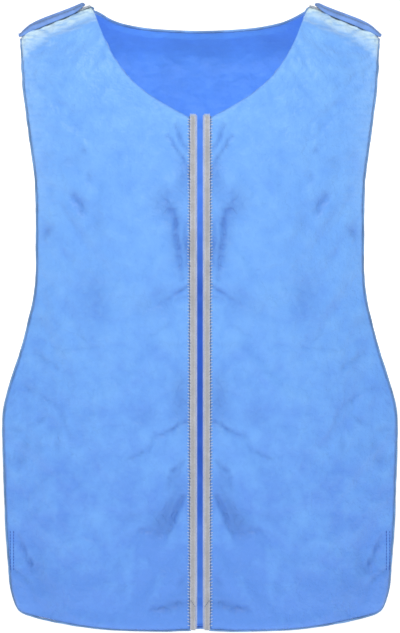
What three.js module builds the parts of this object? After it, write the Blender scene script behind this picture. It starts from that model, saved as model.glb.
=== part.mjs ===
import * as THREE from 'three';

// A padded cooling vest, open at the sides, with a grey taped front opening, tabs over the
// shoulder seams and an elastic strap low on each side. Millimetres, +Z up, the front faces -Y.
// The origin is the middle of the shoulder line, where a wearer's shoulders hold the vest.

// Outline from the front
const vestLength = 687;        // shoulder line down to the front hem
const shoulderSpan = 400;      // across the outer ends of the shoulder seams
const chestWidth = 359;        // narrowest width, below the armholes
const hipWidth = 438;          // widest, a third of the way up from the hem
const neckWidth = 242;         // between the neck ends of the shoulder seams
const shoulderDrop = 33;       // outer end of the shoulder seam below its neck end
const frontNeckDrop = 122;     // neckline at the front opening
const backNeckDrop = 24;       // neckline at the middle of the back
const tailDrop = 14;           // back hem below the front hem
const hemLift = 16.5;           // front hem's rise from the middle to the side corners
const tailLift = 26;           // back hem's rise to the side corners
const hemFlat = 85;            // half width of the level middle of the hem

// Depth, front to back
const frontDepth = 105;        // front opening ahead of the shoulder seams
const backDepth = 95;          // middle of the back behind the shoulder seams
const sideGap = 90;            // between the front's and the back's side edges
const frontCrown = 105;        // height over which the front rounds onto the shoulder
const backCrown = 60;          // height over which the back rounds onto the shoulder
const seamCurve = 1.3;         // how late the shoulder seam drops, as a power
const bodyCurve = 2.2;         // how late the body turns back to the sides, as a power
const hemCurve = 1.65;         // how late the hem rises to the side corners, as a power
const edgeFade = 4;            // how fast the top line and hem fade into level rows, as a power

// Cloth, tapes and trim
const padThickness = 4;        // quilted cloth
const edgeThickness = 2.6;     // the same cloth, pressed flat at its edges
const openingGap = 6;          // between the two halves of the front opening
const lipWidth = 1.4;          // pale rounded lip along the opening
const lipDepth = 2.2;
const tapeWidth = 6.2;         // grey tape between the lip and the cloth
const tapeThickness = 1.6;
const tapeEndRise = 3;         // folded tape end above the neckline
const tapeEndDepth = 8;        // length of that fold
const tapeEndThickness = 2.4;
const bindingWidth = 1.8;      // bound edge, seen face on
const bindingDepth = 3.4;      // bound edge, through the cloth
const bindingClearance = 0.6;  // between the bound edge and the curved cloth inside it
const endSetback = 1;          // binding's ends, back from the seam that they stop at
const tabWidth = 26;           // shoulder tab, front to back
const tabThickness = 6;        // padded middle of the tab
const tabEdge = 3.2;           // the same tab at its edges
const tabInset = 6;            // tab's neck end, outward of the neckline
const tabOverhang = 3;         // tab's outer end past the shoulder edge
const hookWidth = 16;          // grip strip under the tab
const hookThickness = 2.4;
const hookInset = 1;           // grip strip's neck end, outward of the neckline
const tabRound = 10;           // rounding of the tab's ends
const hookRound = 3;           // rounding of the grip strip's ends
const hookLift = 0.5;          // grip strip above the curved shoulder seam
const strapHeight = 46;        // elastic side strap
const strapThickness = 2;
const strapRise = 83;          // middle of the strap above the front hem's level
const strapHold = 28;          // how far the strap runs behind each panel
const strapInset = 6;          // strap's bend, inward of the panel's side edge
const strapClearance = 0.7;    // between the strap and the curved cloth that it is sewn behind
const clearance = 0.3;         // between pieces that are sewn to each other
const foldWidth = 26;          // reach of a fold's dent to each side
const foldDepth = 4;           // depth of the deepest dent

// Mesh steps
const rowCount = 36;
const neckRows = 10;
const frontColumns = 11;
const backHalfColumns = 10;
const backNeckColumns = 6;

const chestHalf = chestWidth / 2;
const neckHalf = neckWidth / 2;
const shoulderHalf = shoulderSpan / 2;
const hipHalf = hipWidth / 2;
const clothEdge = openingGap / 2 + lipWidth + tapeWidth + 2 * clearance;

// Half width of the vest: the chest's, with shares of what the shoulders and hips add.
const widthRows = [
  { down: 0.000, shoulder: 1.00, hip: 0.00 },
  { down: 0.085, shoulder: 0.80, hip: 0.00 },
  { down: 0.137, shoulder: 0.67, hip: 0.00 },
  { down: 0.188, shoulder: 0.45, hip: 0.00 },
  { down: 0.240, shoulder: 0.23, hip: 0.00 },
  { down: 0.291, shoulder: 0.03, hip: 0.00 },
  { down: 0.369, shoulder: 0.00, hip: 0.01 },
  { down: 0.446, shoulder: 0.00, hip: 0.03 },
  { down: 0.498, shoulder: 0.00, hip: 0.21 },
  { down: 0.550, shoulder: 0.00, hip: 0.44 },
  { down: 0.602, shoulder: 0.00, hip: 0.73 },
  { down: 0.628, shoulder: 0.00, hip: 0.90 },
  { down: 0.654, shoulder: 0.00, hip: 0.97 },
  { down: 0.680, shoulder: 0.00, hip: 1.00 },
  { down: 0.715, shoulder: 0.00, hip: 0.97 },
  { down: 0.757, shoulder: 0.00, hip: 0.95 },
  { down: 0.835, shoulder: 0.00, hip: 0.90 },
  { down: 0.887, shoulder: 0.00, hip: 0.83 },
  { down: 0.939, shoulder: 0.00, hip: 0.78 },
  { down: 0.958, shoulder: 0.00, hip: 0.73 },
  { down: 0.968, shoulder: 0.00, hip: 0.68 },
  { down: 0.978, shoulder: 0.00, hip: 0.57 },
];

// Depth of the body: shares of the front depth, the back depth and half the side gap.
const depthRows = [
  { down: 0.00, front: 0.88, back: 0.84, side: 1.12 },
  { down: 0.12, front: 0.90, back: 0.98, side: 1.18 },
  { down: 0.25, front: 0.96, back: 1.00, side: 1.40 },
  { down: 0.36, front: 1.00, back: 0.96, side: 1.38 },
  { down: 0.48, front: 0.99, back: 0.90, side: 1.18 },
  { down: 0.62, front: 0.97, back: 0.90, side: 1.02 },
  { down: 0.80, front: 0.98, back: 0.95, side: 0.99 },
  { down: 1.00, front: 1.00, back: 1.00, side: 1.10 },
];

// Front neckline, from the shoulder to the opening: shares of its width and of its drop.
const frontNeckRows = [
  { across: 1.000, drop: 0.000 },
  { across: 0.925, drop: 0.150 },
  { across: 0.866, drop: 0.288 },
  { across: 0.780, drop: 0.430 },
  { across: 0.697, drop: 0.545 },
  { across: 0.600, drop: 0.650 },
  { across: 0.449, drop: 0.768 },
  { across: 0.205, drop: 0.905 },
  { across: 0.000, drop: 1.000 },
];

// Back neckline, the same way, to the middle of the back.
const backNeckRows = [
  { across: 1.00, drop: 0.00 },
  { across: 0.97, drop: 0.28 },
  { across: 0.92, drop: 0.46 },
  { across: 0.87, drop: 0.53 },
  { across: 0.80, drop: 0.60 },
  { across: 0.66, drop: 0.75 },
  { across: 0.51, drop: 0.87 },
  { across: 0.25, drop: 0.96 },
  { across: 0.00, drop: 1.00 },
];

// Dents in each front half: ends as shares of the half width and of the length, then shares of
// the named fold width and fold depth.
const frontFolds = [
  { acrossA: 0.22, downA: 0.196, acrossB: 0.07, downB: 0.242, width: 0.45, depth: 0.6 },
  { acrossA: 0.13, downA: 0.300, acrossB: 0.12, downB: 0.540, width: 0.70, depth: 0.7 },
  { acrossA: 0.24, downA: 0.458, acrossB: 0.09, downB: 0.476, width: 0.50, depth: 0.6 },
  { acrossA: 0.24, downA: 0.684, acrossB: 0.14, downB: 0.704, width: 0.50, depth: 0.5 },
  { acrossA: 0.37, downA: 0.712, acrossB: 0.24, downB: 0.736, width: 0.55, depth: 0.6 },
  { acrossA: 0.12, downA: 0.760, acrossB: 0.13, downB: 0.855, width: 0.90, depth: 1.0 },
  { acrossA: 0.87, downA: 0.564, acrossB: 0.79, downB: 0.592, width: 0.60, depth: 0.5 },
  { acrossA: 0.78, downA: 0.640, acrossB: 0.65, downB: 0.708, width: 0.60, depth: 0.6 },
  { acrossA: 0.84, downA: 0.862, acrossB: 0.83, downB: 0.985, width: 0.70, depth: 0.9 },
];
const backFolds = [
  { acrossA: 0.30, downA: 0.420, acrossB: -0.30, downB: 0.430, width: 1.10, depth: 0.7 },
  { acrossA: 0.60, downA: 0.560, acrossB: 0.35, downB: 0.660, width: 0.80, depth: 0.6 },
  { acrossA: -0.60, downA: 0.560, acrossB: -0.35, downB: 0.660, width: 0.80, depth: 0.6 },
  { acrossA: 0.84, downA: 0.862, acrossB: 0.83, downB: 0.985, width: 0.70, depth: 0.8 },
  { acrossA: -0.84, downA: 0.862, acrossB: -0.83, downB: 0.985, width: 0.70, depth: 0.8 },
];

const front = { sign: -1, depth: frontDepth, crown: frontCrown, column: 'front', folds: frontFolds };
const back = { sign: 1, depth: backDepth, crown: backCrown, column: 'back', folds: backFolds };

// Smooth value of one column of a table, without overshoot between the rows.
function tableValue(rows, down, column) {
  const last = rows.length - 1;
  if (down <= rows[0].down) return rows[0][column];
  if (down >= rows[last].down) return rows[last][column];
  let i = 0;
  while (down > rows[i + 1].down) i += 1;
  const slopeOf = (k) => (rows[k + 1][column] - rows[k][column]) / (rows[k + 1].down - rows[k].down);
  const tangentOf = (k) => {
    if (k === 0 || k === last) return 0;
    const before = slopeOf(k - 1);
    const after = slopeOf(k);
    return before * after <= 0 ? 0 : 2 * before * after / (before + after);
  };
  const span = rows[i + 1].down - rows[i].down;
  const t = (down - rows[i].down) / span;
  const startShare = 2 * t ** 3 - 3 * t ** 2 + 1;
  const startTurn = t ** 3 - 2 * t ** 2 + t;
  const endTurn = t ** 3 - t ** 2;
  return rows[i][column] * startShare + rows[i + 1][column] * (1 - startShare)
    + span * (tangentOf(i) * startTurn + tangentOf(i + 1) * endTurn);
}

function halfWidthAt(z) {
  const down = -z / vestLength;
  return chestHalf
    + tableValue(widthRows, down, 'shoulder') * (shoulderHalf - chestHalf)
    + tableValue(widthRows, down, 'hip') * (hipHalf - chestHalf);
}

// Height of the shoulder seam at a distance from the middle.
function crestAt(x) {
  const along = THREE.MathUtils.clamp((Math.abs(x) - neckHalf) / (shoulderHalf - neckHalf), 0, 1);
  return -shoulderDrop * along ** seamCurve;
}

// Depth of the body before it rounds onto the shoulder.
function fullDepthAt(face, x, z) {
  const down = -z / vestLength;
  const middle = tableValue(depthRows, down, face.column) * face.depth;
  const edge = tableValue(depthRows, down, 'side') * sideGap / 2;
  const across = Math.min(1, Math.abs(x) / halfWidthAt(z));
  return middle - (middle - edge) * across ** bodyCurve;
}

// Depth of the folds' dents at a place in the front view.
function dentAt(folds, x, z) {
  const half = halfWidthAt(z);
  const here = new THREE.Vector2(x, -z);
  let dent = 0;
  for (const fold of folds) {
    const start = new THREE.Vector2(fold.acrossA * half, fold.downA * vestLength);
    const end = new THREE.Vector2(fold.acrossB * half, fold.downB * vestLength);
    const run = end.clone().sub(start);
    const share = THREE.MathUtils.clamp(here.clone().sub(start).dot(run) / run.lengthSq(), 0, 1);
    const distance = here.distanceTo(start.addScaledVector(run, share));
    dent += fold.depth * foldDepth * Math.exp(-((distance / (fold.width * foldWidth)) ** 2));
  }
  return dent;
}

// Point on the outside of the cloth, behind or ahead of a place in the front view.
function clothPoint(face, x, z) {
  const below = Math.max(0, crestAt(x) - z);
  const rise = Math.max(0, 1 - below / face.crown);
  const full = fullDepthAt(face, x, z) - dentAt(face.folds, x, z);
  return new THREE.Vector3(x, face.sign * (clearance / 2 + full * Math.sqrt(1 - rise * rise)), z);
}

// Height of the cloth over a place on the shoulder, seen from above.
function shoulderPoint(x, y) {
  const face = y < 0 ? front : back;
  let z = crestAt(x);
  for (let pass = 0; pass < 4; pass += 1) {
    const share = Math.min(1, Math.abs(y) / fullDepthAt(face, x, z));
    z = crestAt(x) - face.crown * (1 - Math.sqrt(1 - share * share));
  }
  return new THREE.Vector3(x, y, z);
}

// Unit normals of a grid of points, turned by the sign.
function normalsOf(grid, sign) {
  return grid.map((row, i) => row.map((point, j) => {
    const up = grid[Math.max(0, i - 1)][j];
    const low = grid[Math.min(grid.length - 1, i + 1)][j];
    const near = row[Math.max(0, j - 1)];
    const far = row[Math.min(row.length - 1, j + 1)];
    const along = new THREE.Vector3().subVectors(far, near);
    const down = new THREE.Vector3().subVectors(low, up);
    return along.cross(down).normalize().multiplyScalar(sign);
  }));
}

// Closed body of a strip of cloth: a grid of outer points, and inner ones a thickness behind.
function clothBody(grid, normals, thicknessAt) {
  const rows = grid.length;
  const columns = grid[0].length;
  const positions = [];
  const faces = [];
  for (let layer = 0; layer < 2; layer += 1) {
    for (let i = 0; i < rows; i += 1) {
      for (let j = 0; j < columns; j += 1) {
        const point = grid[i][j].clone().addScaledVector(normals[i][j], -layer * thicknessAt(i, j));
        positions.push(point.x, point.y, point.z);
      }
    }
  }
  const at = (layer, i, j) => (layer * rows + i) * columns + j;
  const quad = (a, b, c, d) => faces.push(a, b, c, a, c, d);
  for (let i = 0; i + 1 < rows; i += 1) {
    for (let j = 0; j + 1 < columns; j += 1) {
      quad(at(0, i, j), at(0, i + 1, j), at(0, i + 1, j + 1), at(0, i, j + 1));
      quad(at(1, i, j), at(1, i, j + 1), at(1, i + 1, j + 1), at(1, i + 1, j));
    }
  }
  for (let i = 0; i + 1 < rows; i += 1) {
    quad(at(0, i, 0), at(1, i, 0), at(1, i + 1, 0), at(0, i + 1, 0));
    const far = columns - 1;
    quad(at(0, i + 1, far), at(1, i + 1, far), at(1, i, far), at(0, i, far));
  }
  for (let j = 0; j + 1 < columns; j += 1) {
    quad(at(0, 0, j + 1), at(1, 0, j + 1), at(1, 0, j), at(0, 0, j));
    quad(at(0, rows - 1, j), at(1, rows - 1, j), at(1, rows - 1, j + 1), at(0, rows - 1, j + 1));
  }
  return facingOut(positions, faces);
}

// Geometry from points and faces, with the faces turned so that the body's volume is positive.
function facingOut(positions, faces) {
  const point = (k) => new THREE.Vector3().fromArray(positions, 3 * k);
  let volume = 0;
  for (let k = 0; k < faces.length; k += 3) {
    volume += point(faces[k]).dot(point(faces[k + 1]).cross(point(faces[k + 2])));
  }
  const turned = volume < 0 ? faces.slice().reverse() : faces;
  const geometry = new THREE.BufferGeometry();
  geometry.setAttribute('position', new THREE.Float32BufferAttribute(positions, 3));
  geometry.setIndex(turned);
  geometry.computeVertexNormals();
  return geometry;
}

// Closed rounded bar along a path: an oval of a width along each side vector and a depth along
// each normal.
function barAlong(path, width, depth, sides = 6) {
  const positions = [];
  const faces = [];
  path.forEach(({ centre, side, normal }) => {
    for (let k = 0; k < sides; k += 1) {
      const angle = (k + 0.5) / sides * 2 * Math.PI;
      const point = centre.clone()
        .addScaledVector(side, Math.cos(angle) * width / 2)
        .addScaledVector(normal, Math.sin(angle) * depth / 2);
      positions.push(point.x, point.y, point.z);
    }
  });
  for (let i = 0; i + 1 < path.length; i += 1) {
    for (let k = 0; k < sides; k += 1) {
      const next = (k + 1) % sides;
      const a = i * sides + k;
      const b = i * sides + next;
      faces.push(a, b, b + sides, a, b + sides, a + sides);
    }
  }
  const end = (path.length - 1) * sides;
  for (let k = 1; k + 1 < sides; k += 1) {
    faces.push(0, k + 1, k, end, end + k, end + k + 1);
  }
  return facingOut(positions, faces);
}

// Share of the way down a panel for each row, with short rows where the cloth rounds over.
function rowShare(row) {
  const soft = 0.12;
  const share = row / rowCount;
  return (Math.hypot(soft, share) - soft) / (Math.hypot(soft, 1) - soft);
}

// Neckline as a curve in the front view, from the shoulder to its inner end.
function neckCurve(rows, innerX, drop) {
  return new THREE.SplineCurve(rows.map((row) => new THREE.Vector2(
    innerX + row.across * (neckHalf - innerX),
    -row.drop * drop,
  )));
}

// Front-view places of one half of a panel: rows from the top line down to the hem, columns from
// the inner edge out to the armhole and side.
function panelPlaces(columns, innerAt, topAt, hemLevel, cornerLift) {
  const side = Array.from({ length: rowCount + 1 }, (_, i) => {
    const z = -shoulderDrop - rowShare(i) * (hemLevel - cornerLift - shoulderDrop);
    return new THREE.Vector2(halfWidthAt(z), z);
  });
  const inner = side.map((_, i) => innerAt(i));
  const hemAt = (x) => {
    const lift = Math.max(0, (x - hemFlat) / (side[rowCount].x - hemFlat));
    return -hemLevel + cornerLift * lift ** hemCurve;
  };
  return side.map((sidePlace, i) => {
    const down = i / rowCount;
    return Array.from({ length: columns + 1 }, (_, j) => {
      const across = j / columns;
      const straight = (row) => inner[row].clone().lerp(side[row], across);
      const topShift = topAt(j).sub(straight(0));
      const place = straight(i).addScaledVector(topShift, (1 - down) ** edgeFade);
      const hemShift = hemAt(straight(rowCount).x) - straight(rowCount).y;
      place.y += hemShift * down ** edgeFade;
      return place;
    });
  });
}

// Outer cloth points of a panel with their normals. At the shoulder seam the cloth is level.
function panelGrid(face, places, onSeam) {
  const grid = places.map((row) => row.map((place) => clothPoint(face, place.x, place.y)));
  const turn = normalsOf(grid, 1)[neckRows][1].y * face.sign > 0 ? 1 : -1;
  const normals = normalsOf(grid, turn);
  normals[0].forEach((normal, j) => {
    if (onSeam(j)) normal.setY(0).normalize();
  });
  return { grid, normals };
}

function clothThickness(lastRow, lastColumn) {
  return (i, j) => {
    const onEdge = i === 0 || i === lastRow || j === 0 || j === lastColumn;
    return onEdge ? edgeThickness : padThickness;
  };
}

// Path of a binding along border places of a panel, just outside its edge.
function bindingPath(panel, border) {
  const points = border.map(([i, j]) => panel.grid[i][j].clone()
    .addScaledVector(panel.normals[i][j], -edgeThickness / 2));
  return border.map(([i, j, inwardRow, inwardColumn], k) => {
    const before = points[Math.max(0, k - 1)];
    const after = points[Math.min(points.length - 1, k + 1)];
    const tangent = new THREE.Vector3().subVectors(after, before).normalize();
    const normal = panel.normals[i][j].clone();
    const side = new THREE.Vector3().crossVectors(tangent, normal).normalize();
    const inward = panel.grid[i + inwardRow][j + inwardColumn].clone().sub(panel.grid[i][j]);
    if (side.dot(inward) > 0) side.negate();
    normal.crossVectors(side, tangent).normalize();
    const centre = points[k].clone().addScaledVector(side, bindingWidth / 2 + bindingClearance);
    if (k === 0) centre.addScaledVector(tangent, endSetback);
    if (k === border.length - 1) centre.addScaledVector(tangent, -endSetback);
    return { centre, side, normal };
  });
}

const vest = new THREE.Group();

function addPiece(name, geometry, material) {
  const mesh = new THREE.Mesh(geometry, material);
  mesh.name = name;
  vest.add(mesh);
}

// A copy on the vest's other side, with its faces turned back out.
function mirrored(geometry) {
  const copy = geometry.clone();
  copy.scale(-1, 1, 1);
  copy.setIndex(Array.from(geometry.index.array).reverse());
  copy.computeVertexNormals();
  return copy;
}

// Every paired piece is made on the +X side and mirrored to the -X side.
function addPair(name, geometry, material) {
  addPiece(`${name}_left`, geometry, material);
  addPiece(`${name}_right`, mirrored(geometry), material);
}

const blueCloth = new THREE.MeshStandardMaterial({ color: 0x78b0fd, roughness: 0.55, metalness: 0 });
const darkBinding = new THREE.MeshStandardMaterial({ color: 0x5f87c8, roughness: 0.6, metalness: 0 });
const greyTape = new THREE.MeshStandardMaterial({ color: 0xaeafb8, roughness: 0.75, metalness: 0 });
const paleLip = new THREE.MeshStandardMaterial({ color: 0xc4d6ee, roughness: 0.6, metalness: 0 });
const tabCloth = new THREE.MeshStandardMaterial({ color: 0x5f98ea, roughness: 0.55, metalness: 0 });
const greyHook = new THREE.MeshStandardMaterial({ color: 0x9aa0a8, roughness: 0.85, metalness: 0 });
const blueElastic = new THREE.MeshStandardMaterial({ color: 0x4f7fd0, roughness: 0.8, metalness: 0 });

// Front halves: the inner edge is the neckline, then the straight edge at the opening.
const frontNeck = neckCurve(frontNeckRows, clothEdge, frontNeckDrop);
const openingShare = (row) => {
  const atNeck = rowShare(neckRows);
  return (rowShare(row) - atNeck) / (1 - atNeck);
};
const frontInnerAt = (row) => {
  if (row <= neckRows) return frontNeck.getPointAt(row / neckRows);
  return new THREE.Vector2(clothEdge, -THREE.MathUtils.lerp(frontNeckDrop, vestLength, openingShare(row)));
};
const seamPlace = (share) => {
  const x = THREE.MathUtils.lerp(neckHalf, shoulderHalf, share);
  return new THREE.Vector2(x, crestAt(x));
};
const frontPlaces = panelPlaces(frontColumns, frontInnerAt,
  (column) => seamPlace(column / frontColumns), vestLength, hemLift);
const frontPanel = panelGrid(front, frontPlaces, () => true);
frontPanel.normals.slice(neckRows - 1).forEach((row) => row[0].setX(0).normalize());
addPair('front_panel',
  clothBody(frontPanel.grid, frontPanel.normals, clothThickness(rowCount, frontColumns)), blueCloth);

// Back: one panel, its top line the seam, the neckline and the other seam.
const backLevel = vestLength + tailDrop;
const backNeck = neckCurve(backNeckRows, 0, backNeckDrop);
const backInnerAt = (row) => new THREE.Vector2(0,
  -THREE.MathUtils.lerp(backNeckDrop, backLevel, rowShare(row)));
const backTopAt = (column) => (column < backNeckColumns
  ? backNeck.getPointAt(1 - column / backNeckColumns)
  : seamPlace((column - backNeckColumns) / (backHalfColumns - backNeckColumns)));
const backHalf = panelPlaces(backHalfColumns, backInnerAt, backTopAt, backLevel, tailLift);
const backPlaces = backHalf.map((row) => [
  ...row.slice(1).reverse().map((place) => new THREE.Vector2(-place.x, place.y)),
  ...row,
]);
const backColumns = 2 * backHalfColumns;
const backPanel = panelGrid(back, backPlaces,
  (column) => Math.abs(column - backHalfColumns) >= backNeckColumns);
addPiece('back_panel',
  clothBody(backPanel.grid, backPanel.normals, clothThickness(rowCount, backColumns)), blueCloth);

// Bindings: round the armhole, side and hem of each front half, and all round the back but for
// the seams.
const steps = (from, to) => Array.from({ length: Math.abs(to - from) + 1 },
  (_, k) => from + Math.sign(to - from) * k);
const frontBorder = [
  ...steps(0, rowCount - 1).map((i) => [i, frontColumns, 0, -1]),
  [rowCount, frontColumns, -1, -1],
  ...steps(frontColumns - 1, 0).map((j) => [rowCount, j, -1, 0]),
];
addPair('front_binding', barAlong(bindingPath(frontPanel, frontBorder), bindingWidth, bindingDepth),
  darkBinding);
const backBorder = [
  ...steps(0, rowCount - 1).map((i) => [i, backColumns, 0, -1]),
  [rowCount, backColumns, -1, -1],
  ...steps(backColumns - 1, 1).map((j) => [rowCount, j, -1, 0]),
  [rowCount, 0, -1, 1],
  ...steps(rowCount - 1, 0).map((i) => [i, 0, 0, 1]),
];
addPiece('back_binding', barAlong(bindingPath(backPanel, backBorder), bindingWidth, bindingDepth),
  darkBinding);
const neckFrom = backHalfColumns - backNeckColumns;
const neckTo = backHalfColumns + backNeckColumns;
const neckBorder = steps(neckFrom, neckTo).map((j) => [0, j, 1, 0]);
addPiece('neck_binding', barAlong(bindingPath(backPanel, neckBorder), bindingWidth, bindingDepth),
  darkBinding);

// Grey tape and its pale lip along the opening. The tape's top end is folded over.
const tapeInner = openingGap / 2 + lipWidth + clearance;
const tapeTop = -frontNeckDrop + tapeEndRise;
const tapeLevels = [
  tapeTop,
  tapeTop - tapeEndDepth,
  tapeTop - tapeEndDepth - clearance,
  ...steps(neckRows + 1, rowCount).map((row) => frontInnerAt(row).y),
];
const tapeSink = (edgeThickness - tapeThickness) / 2;
const foldedRows = 2;
const foldSwell = (tapeEndThickness - tapeThickness) / 2;
const tapeGrid = tapeLevels.map((z, i) => [tapeInner, tapeInner + tapeWidth].map((x) => {
  const point = clothPoint(front, x, z);
  point.y += tapeSink - (i < foldedRows ? foldSwell : 0);
  return point;
}));
const tapeNormals = tapeGrid.map((row) => row.map(() => new THREE.Vector3(0, -1, 0)));
addPair('front_tape', clothBody(tapeGrid, tapeNormals,
  (i) => (i < foldedRows ? tapeEndThickness : tapeThickness)), greyTape);
const lipPath = tapeLevels.map((z) => {
  const centre = clothPoint(front, (openingGap + lipWidth) / 2, z);
  centre.y += edgeThickness / 2;
  return { centre, side: new THREE.Vector3(1, 0, 0), normal: new THREE.Vector3(0, -1, 0) };
});
addPair('tape_lip', barAlong(lipPath, lipWidth, lipDepth), paleLip);

// Places across a shoulder strip, as shares of its half width.
const stripShares = [-1, -0.72, -0.36, 0, 0.36, 0.72, 1];

// Strip lying along a shoulder seam, with rounded ends. The lift above the cloth and the thickness
// follow the distance from the seam.
function shoulderStrip(from, to, width, round, liftAt, thicknessAt) {
  const half = width / 2;
  const length = to - from;
  const endShares = [0, 0.15, 0.45, 1].map((share) => share * round / length);
  const middleShares = [0.35, 0.5, 0.65];
  const stations = [...endShares, ...middleShares, ...endShares.map((share) => 1 - share).reverse()];
  const grid = stations.map((station) => {
    const toEnd = Math.min(station, 1 - station) * length;
    const inRound = Math.max(0, 1 - toEnd / round);
    const reach = half - round + round * Math.sqrt(1 - inRound * inRound);
    return stripShares.map((share) => shoulderPoint(from + station * length, share * reach));
  });
  const turn = normalsOf(grid, 1)[5][2].z > 0 ? 1 : -1;
  const normals = normalsOf(grid, turn);
  const lastRow = grid.length - 1;
  const lastColumn = stripShares.length - 1;
  const onEdge = (i, j) => i === 0 || i === lastRow || j === 0 || j === lastColumn;
  grid.forEach((row, i) => row.forEach((point, j) => {
    point.addScaledVector(normals[i][j], liftAt(Math.abs(point.y)) + thicknessAt(onEdge(i, j)));
  }));
  return clothBody(grid, normals, (i, j) => thicknessAt(onEdge(i, j)));
}
const hookFrom = neckHalf + hookInset;
const tabFrom = neckHalf + tabInset;
const tabTo = shoulderHalf + tabOverhang;
addPair('tab_hook', shoulderStrip(hookFrom, tabTo - tabInset, hookWidth, hookRound,
  () => hookLift, () => hookThickness), greyHook);

// The tab lies over the grip strip and bends down onto the cloth at its long edges.
const overHook = hookLift + hookThickness + clearance;
const bendStart = (hookWidth + hookThickness) / 2;
const tabLiftAt = (fromSeam) => {
  const bent = (fromSeam - bendStart) / (tabWidth / 2 - bendStart);
  return THREE.MathUtils.lerp(overHook, hookLift, THREE.MathUtils.clamp(bent, 0, 1));
};
addPair('shoulder_tab', shoulderStrip(tabFrom, tabTo, tabWidth, tabRound,
  tabLiftAt, (onEdge) => (onEdge ? tabEdge : tabThickness)), tabCloth);

// Elastic side strap, sewn behind the front's and the back's side edges, straight between them.
function strapHeldPoint(face, z, inset) {
  const x = halfWidthAt(z) - inset;
  const here = clothPoint(face, x, z);
  const slope = clothPoint(face, x + 1, z).sub(clothPoint(face, x - 1, z));
  const inward = new THREE.Vector3(-slope.y, slope.x, 0).normalize();
  if (inward.y * face.sign > 0) inward.negate();
  return here.addScaledVector(inward, padThickness + strapClearance);
}
const strapGrid = [0.5, 0.17, -0.17, -0.5].map((share) => {
  const z = strapRise - vestLength + share * strapHeight;
  const insets = [strapHold, (strapHold + strapInset) / 2, strapInset];
  const ahead = insets.map((inset) => strapHeldPoint(front, z, inset));
  const behind = insets.map((inset) => strapHeldPoint(back, z, inset)).reverse();
  const between = [1 / 3, 2 / 3].map((part) => ahead[2].clone().lerp(behind[0], part));
  return [...ahead, ...between, ...behind];
});
const strapTurn = normalsOf(strapGrid, 1)[1][3].x > 0 ? 1 : -1;
addPair('side_strap', clothBody(strapGrid, normalsOf(strapGrid, strapTurn), () => strapThickness),
  blueElastic);

export default vest;
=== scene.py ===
import math

import bmesh
import bpy
from mathutils import Matrix, Vector, noise
from mathutils.bvhtree import BVHTree
from mathutils.kdtree import KDTree


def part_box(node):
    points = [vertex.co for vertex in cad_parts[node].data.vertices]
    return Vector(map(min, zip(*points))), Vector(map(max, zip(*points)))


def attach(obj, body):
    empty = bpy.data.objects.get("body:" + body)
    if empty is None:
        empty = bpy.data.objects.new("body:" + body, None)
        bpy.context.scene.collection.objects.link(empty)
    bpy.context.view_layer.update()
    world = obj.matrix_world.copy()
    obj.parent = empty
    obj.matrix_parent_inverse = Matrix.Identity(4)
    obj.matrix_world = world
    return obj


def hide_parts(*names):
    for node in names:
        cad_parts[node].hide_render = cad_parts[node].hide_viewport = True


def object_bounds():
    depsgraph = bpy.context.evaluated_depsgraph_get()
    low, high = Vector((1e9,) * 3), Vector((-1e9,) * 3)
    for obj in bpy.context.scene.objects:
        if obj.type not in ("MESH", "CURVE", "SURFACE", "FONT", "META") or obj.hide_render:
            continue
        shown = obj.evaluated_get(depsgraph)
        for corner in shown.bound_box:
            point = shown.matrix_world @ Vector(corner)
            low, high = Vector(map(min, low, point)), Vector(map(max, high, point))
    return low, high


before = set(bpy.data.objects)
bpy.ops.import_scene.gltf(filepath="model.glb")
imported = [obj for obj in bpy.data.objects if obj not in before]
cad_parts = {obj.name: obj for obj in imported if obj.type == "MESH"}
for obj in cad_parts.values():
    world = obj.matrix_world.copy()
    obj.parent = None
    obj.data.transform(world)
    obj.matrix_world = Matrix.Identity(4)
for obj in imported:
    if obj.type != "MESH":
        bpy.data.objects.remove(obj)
cad_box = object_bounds()
scene = bpy.context.scene
MM = 0.001

# Camera. The vest is seen from straight in front, a little above level, through a long lens that
# keeps its shoulders and hem almost free of perspective.
CAMERA_DISTANCE = 6.0
CAMERA_RISE = math.radians(1.5)
PICTURE_HEIGHT = 703.3 * MM
PICTURE_MIDDLE = -342.7 * MM
PICTURE_PLANE = -45.0 * MM
SENSOR_HEIGHT = 24.0

camera_data = bpy.data.cameras.new("camera")
camera_data.sensor_fit = "VERTICAL"
camera_data.sensor_height = SENSOR_HEIGHT
camera_data.lens = SENSOR_HEIGHT * CAMERA_DISTANCE / PICTURE_HEIGHT
camera = bpy.data.objects.new("camera", camera_data)
camera.location = (
    0.0,
    PICTURE_PLANE - CAMERA_DISTANCE * math.cos(CAMERA_RISE),
    PICTURE_MIDDLE + CAMERA_DISTANCE * math.sin(CAMERA_RISE),
)
camera.rotation_euler = (math.pi / 2 - CAMERA_RISE, 0.0, 0.0)
scene.collection.objects.link(camera)
scene.camera = camera
scene.view_settings.view_transform = "Standard"

# Studio. A pale floor with a backdrop under a white surround. A broad soft light in front, one
# above that brightens the shoulders and a small one inside the neck that lifts the lining are all
# hidden from the camera.
FLOOR_LEVEL = cad_box[0].z - 60 * MM
FLOOR_SIZE = 24.0
BACKDROP_RISE = 9.0


def deselect():
    if bpy.context.object and bpy.context.object.mode != "OBJECT":
        bpy.ops.object.mode_set(mode="OBJECT")
    bpy.ops.object.select_all(action="DESELECT")


def choose(piece):
    deselect()
    piece.select_set(True)
    bpy.context.view_layer.objects.active = piece


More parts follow.
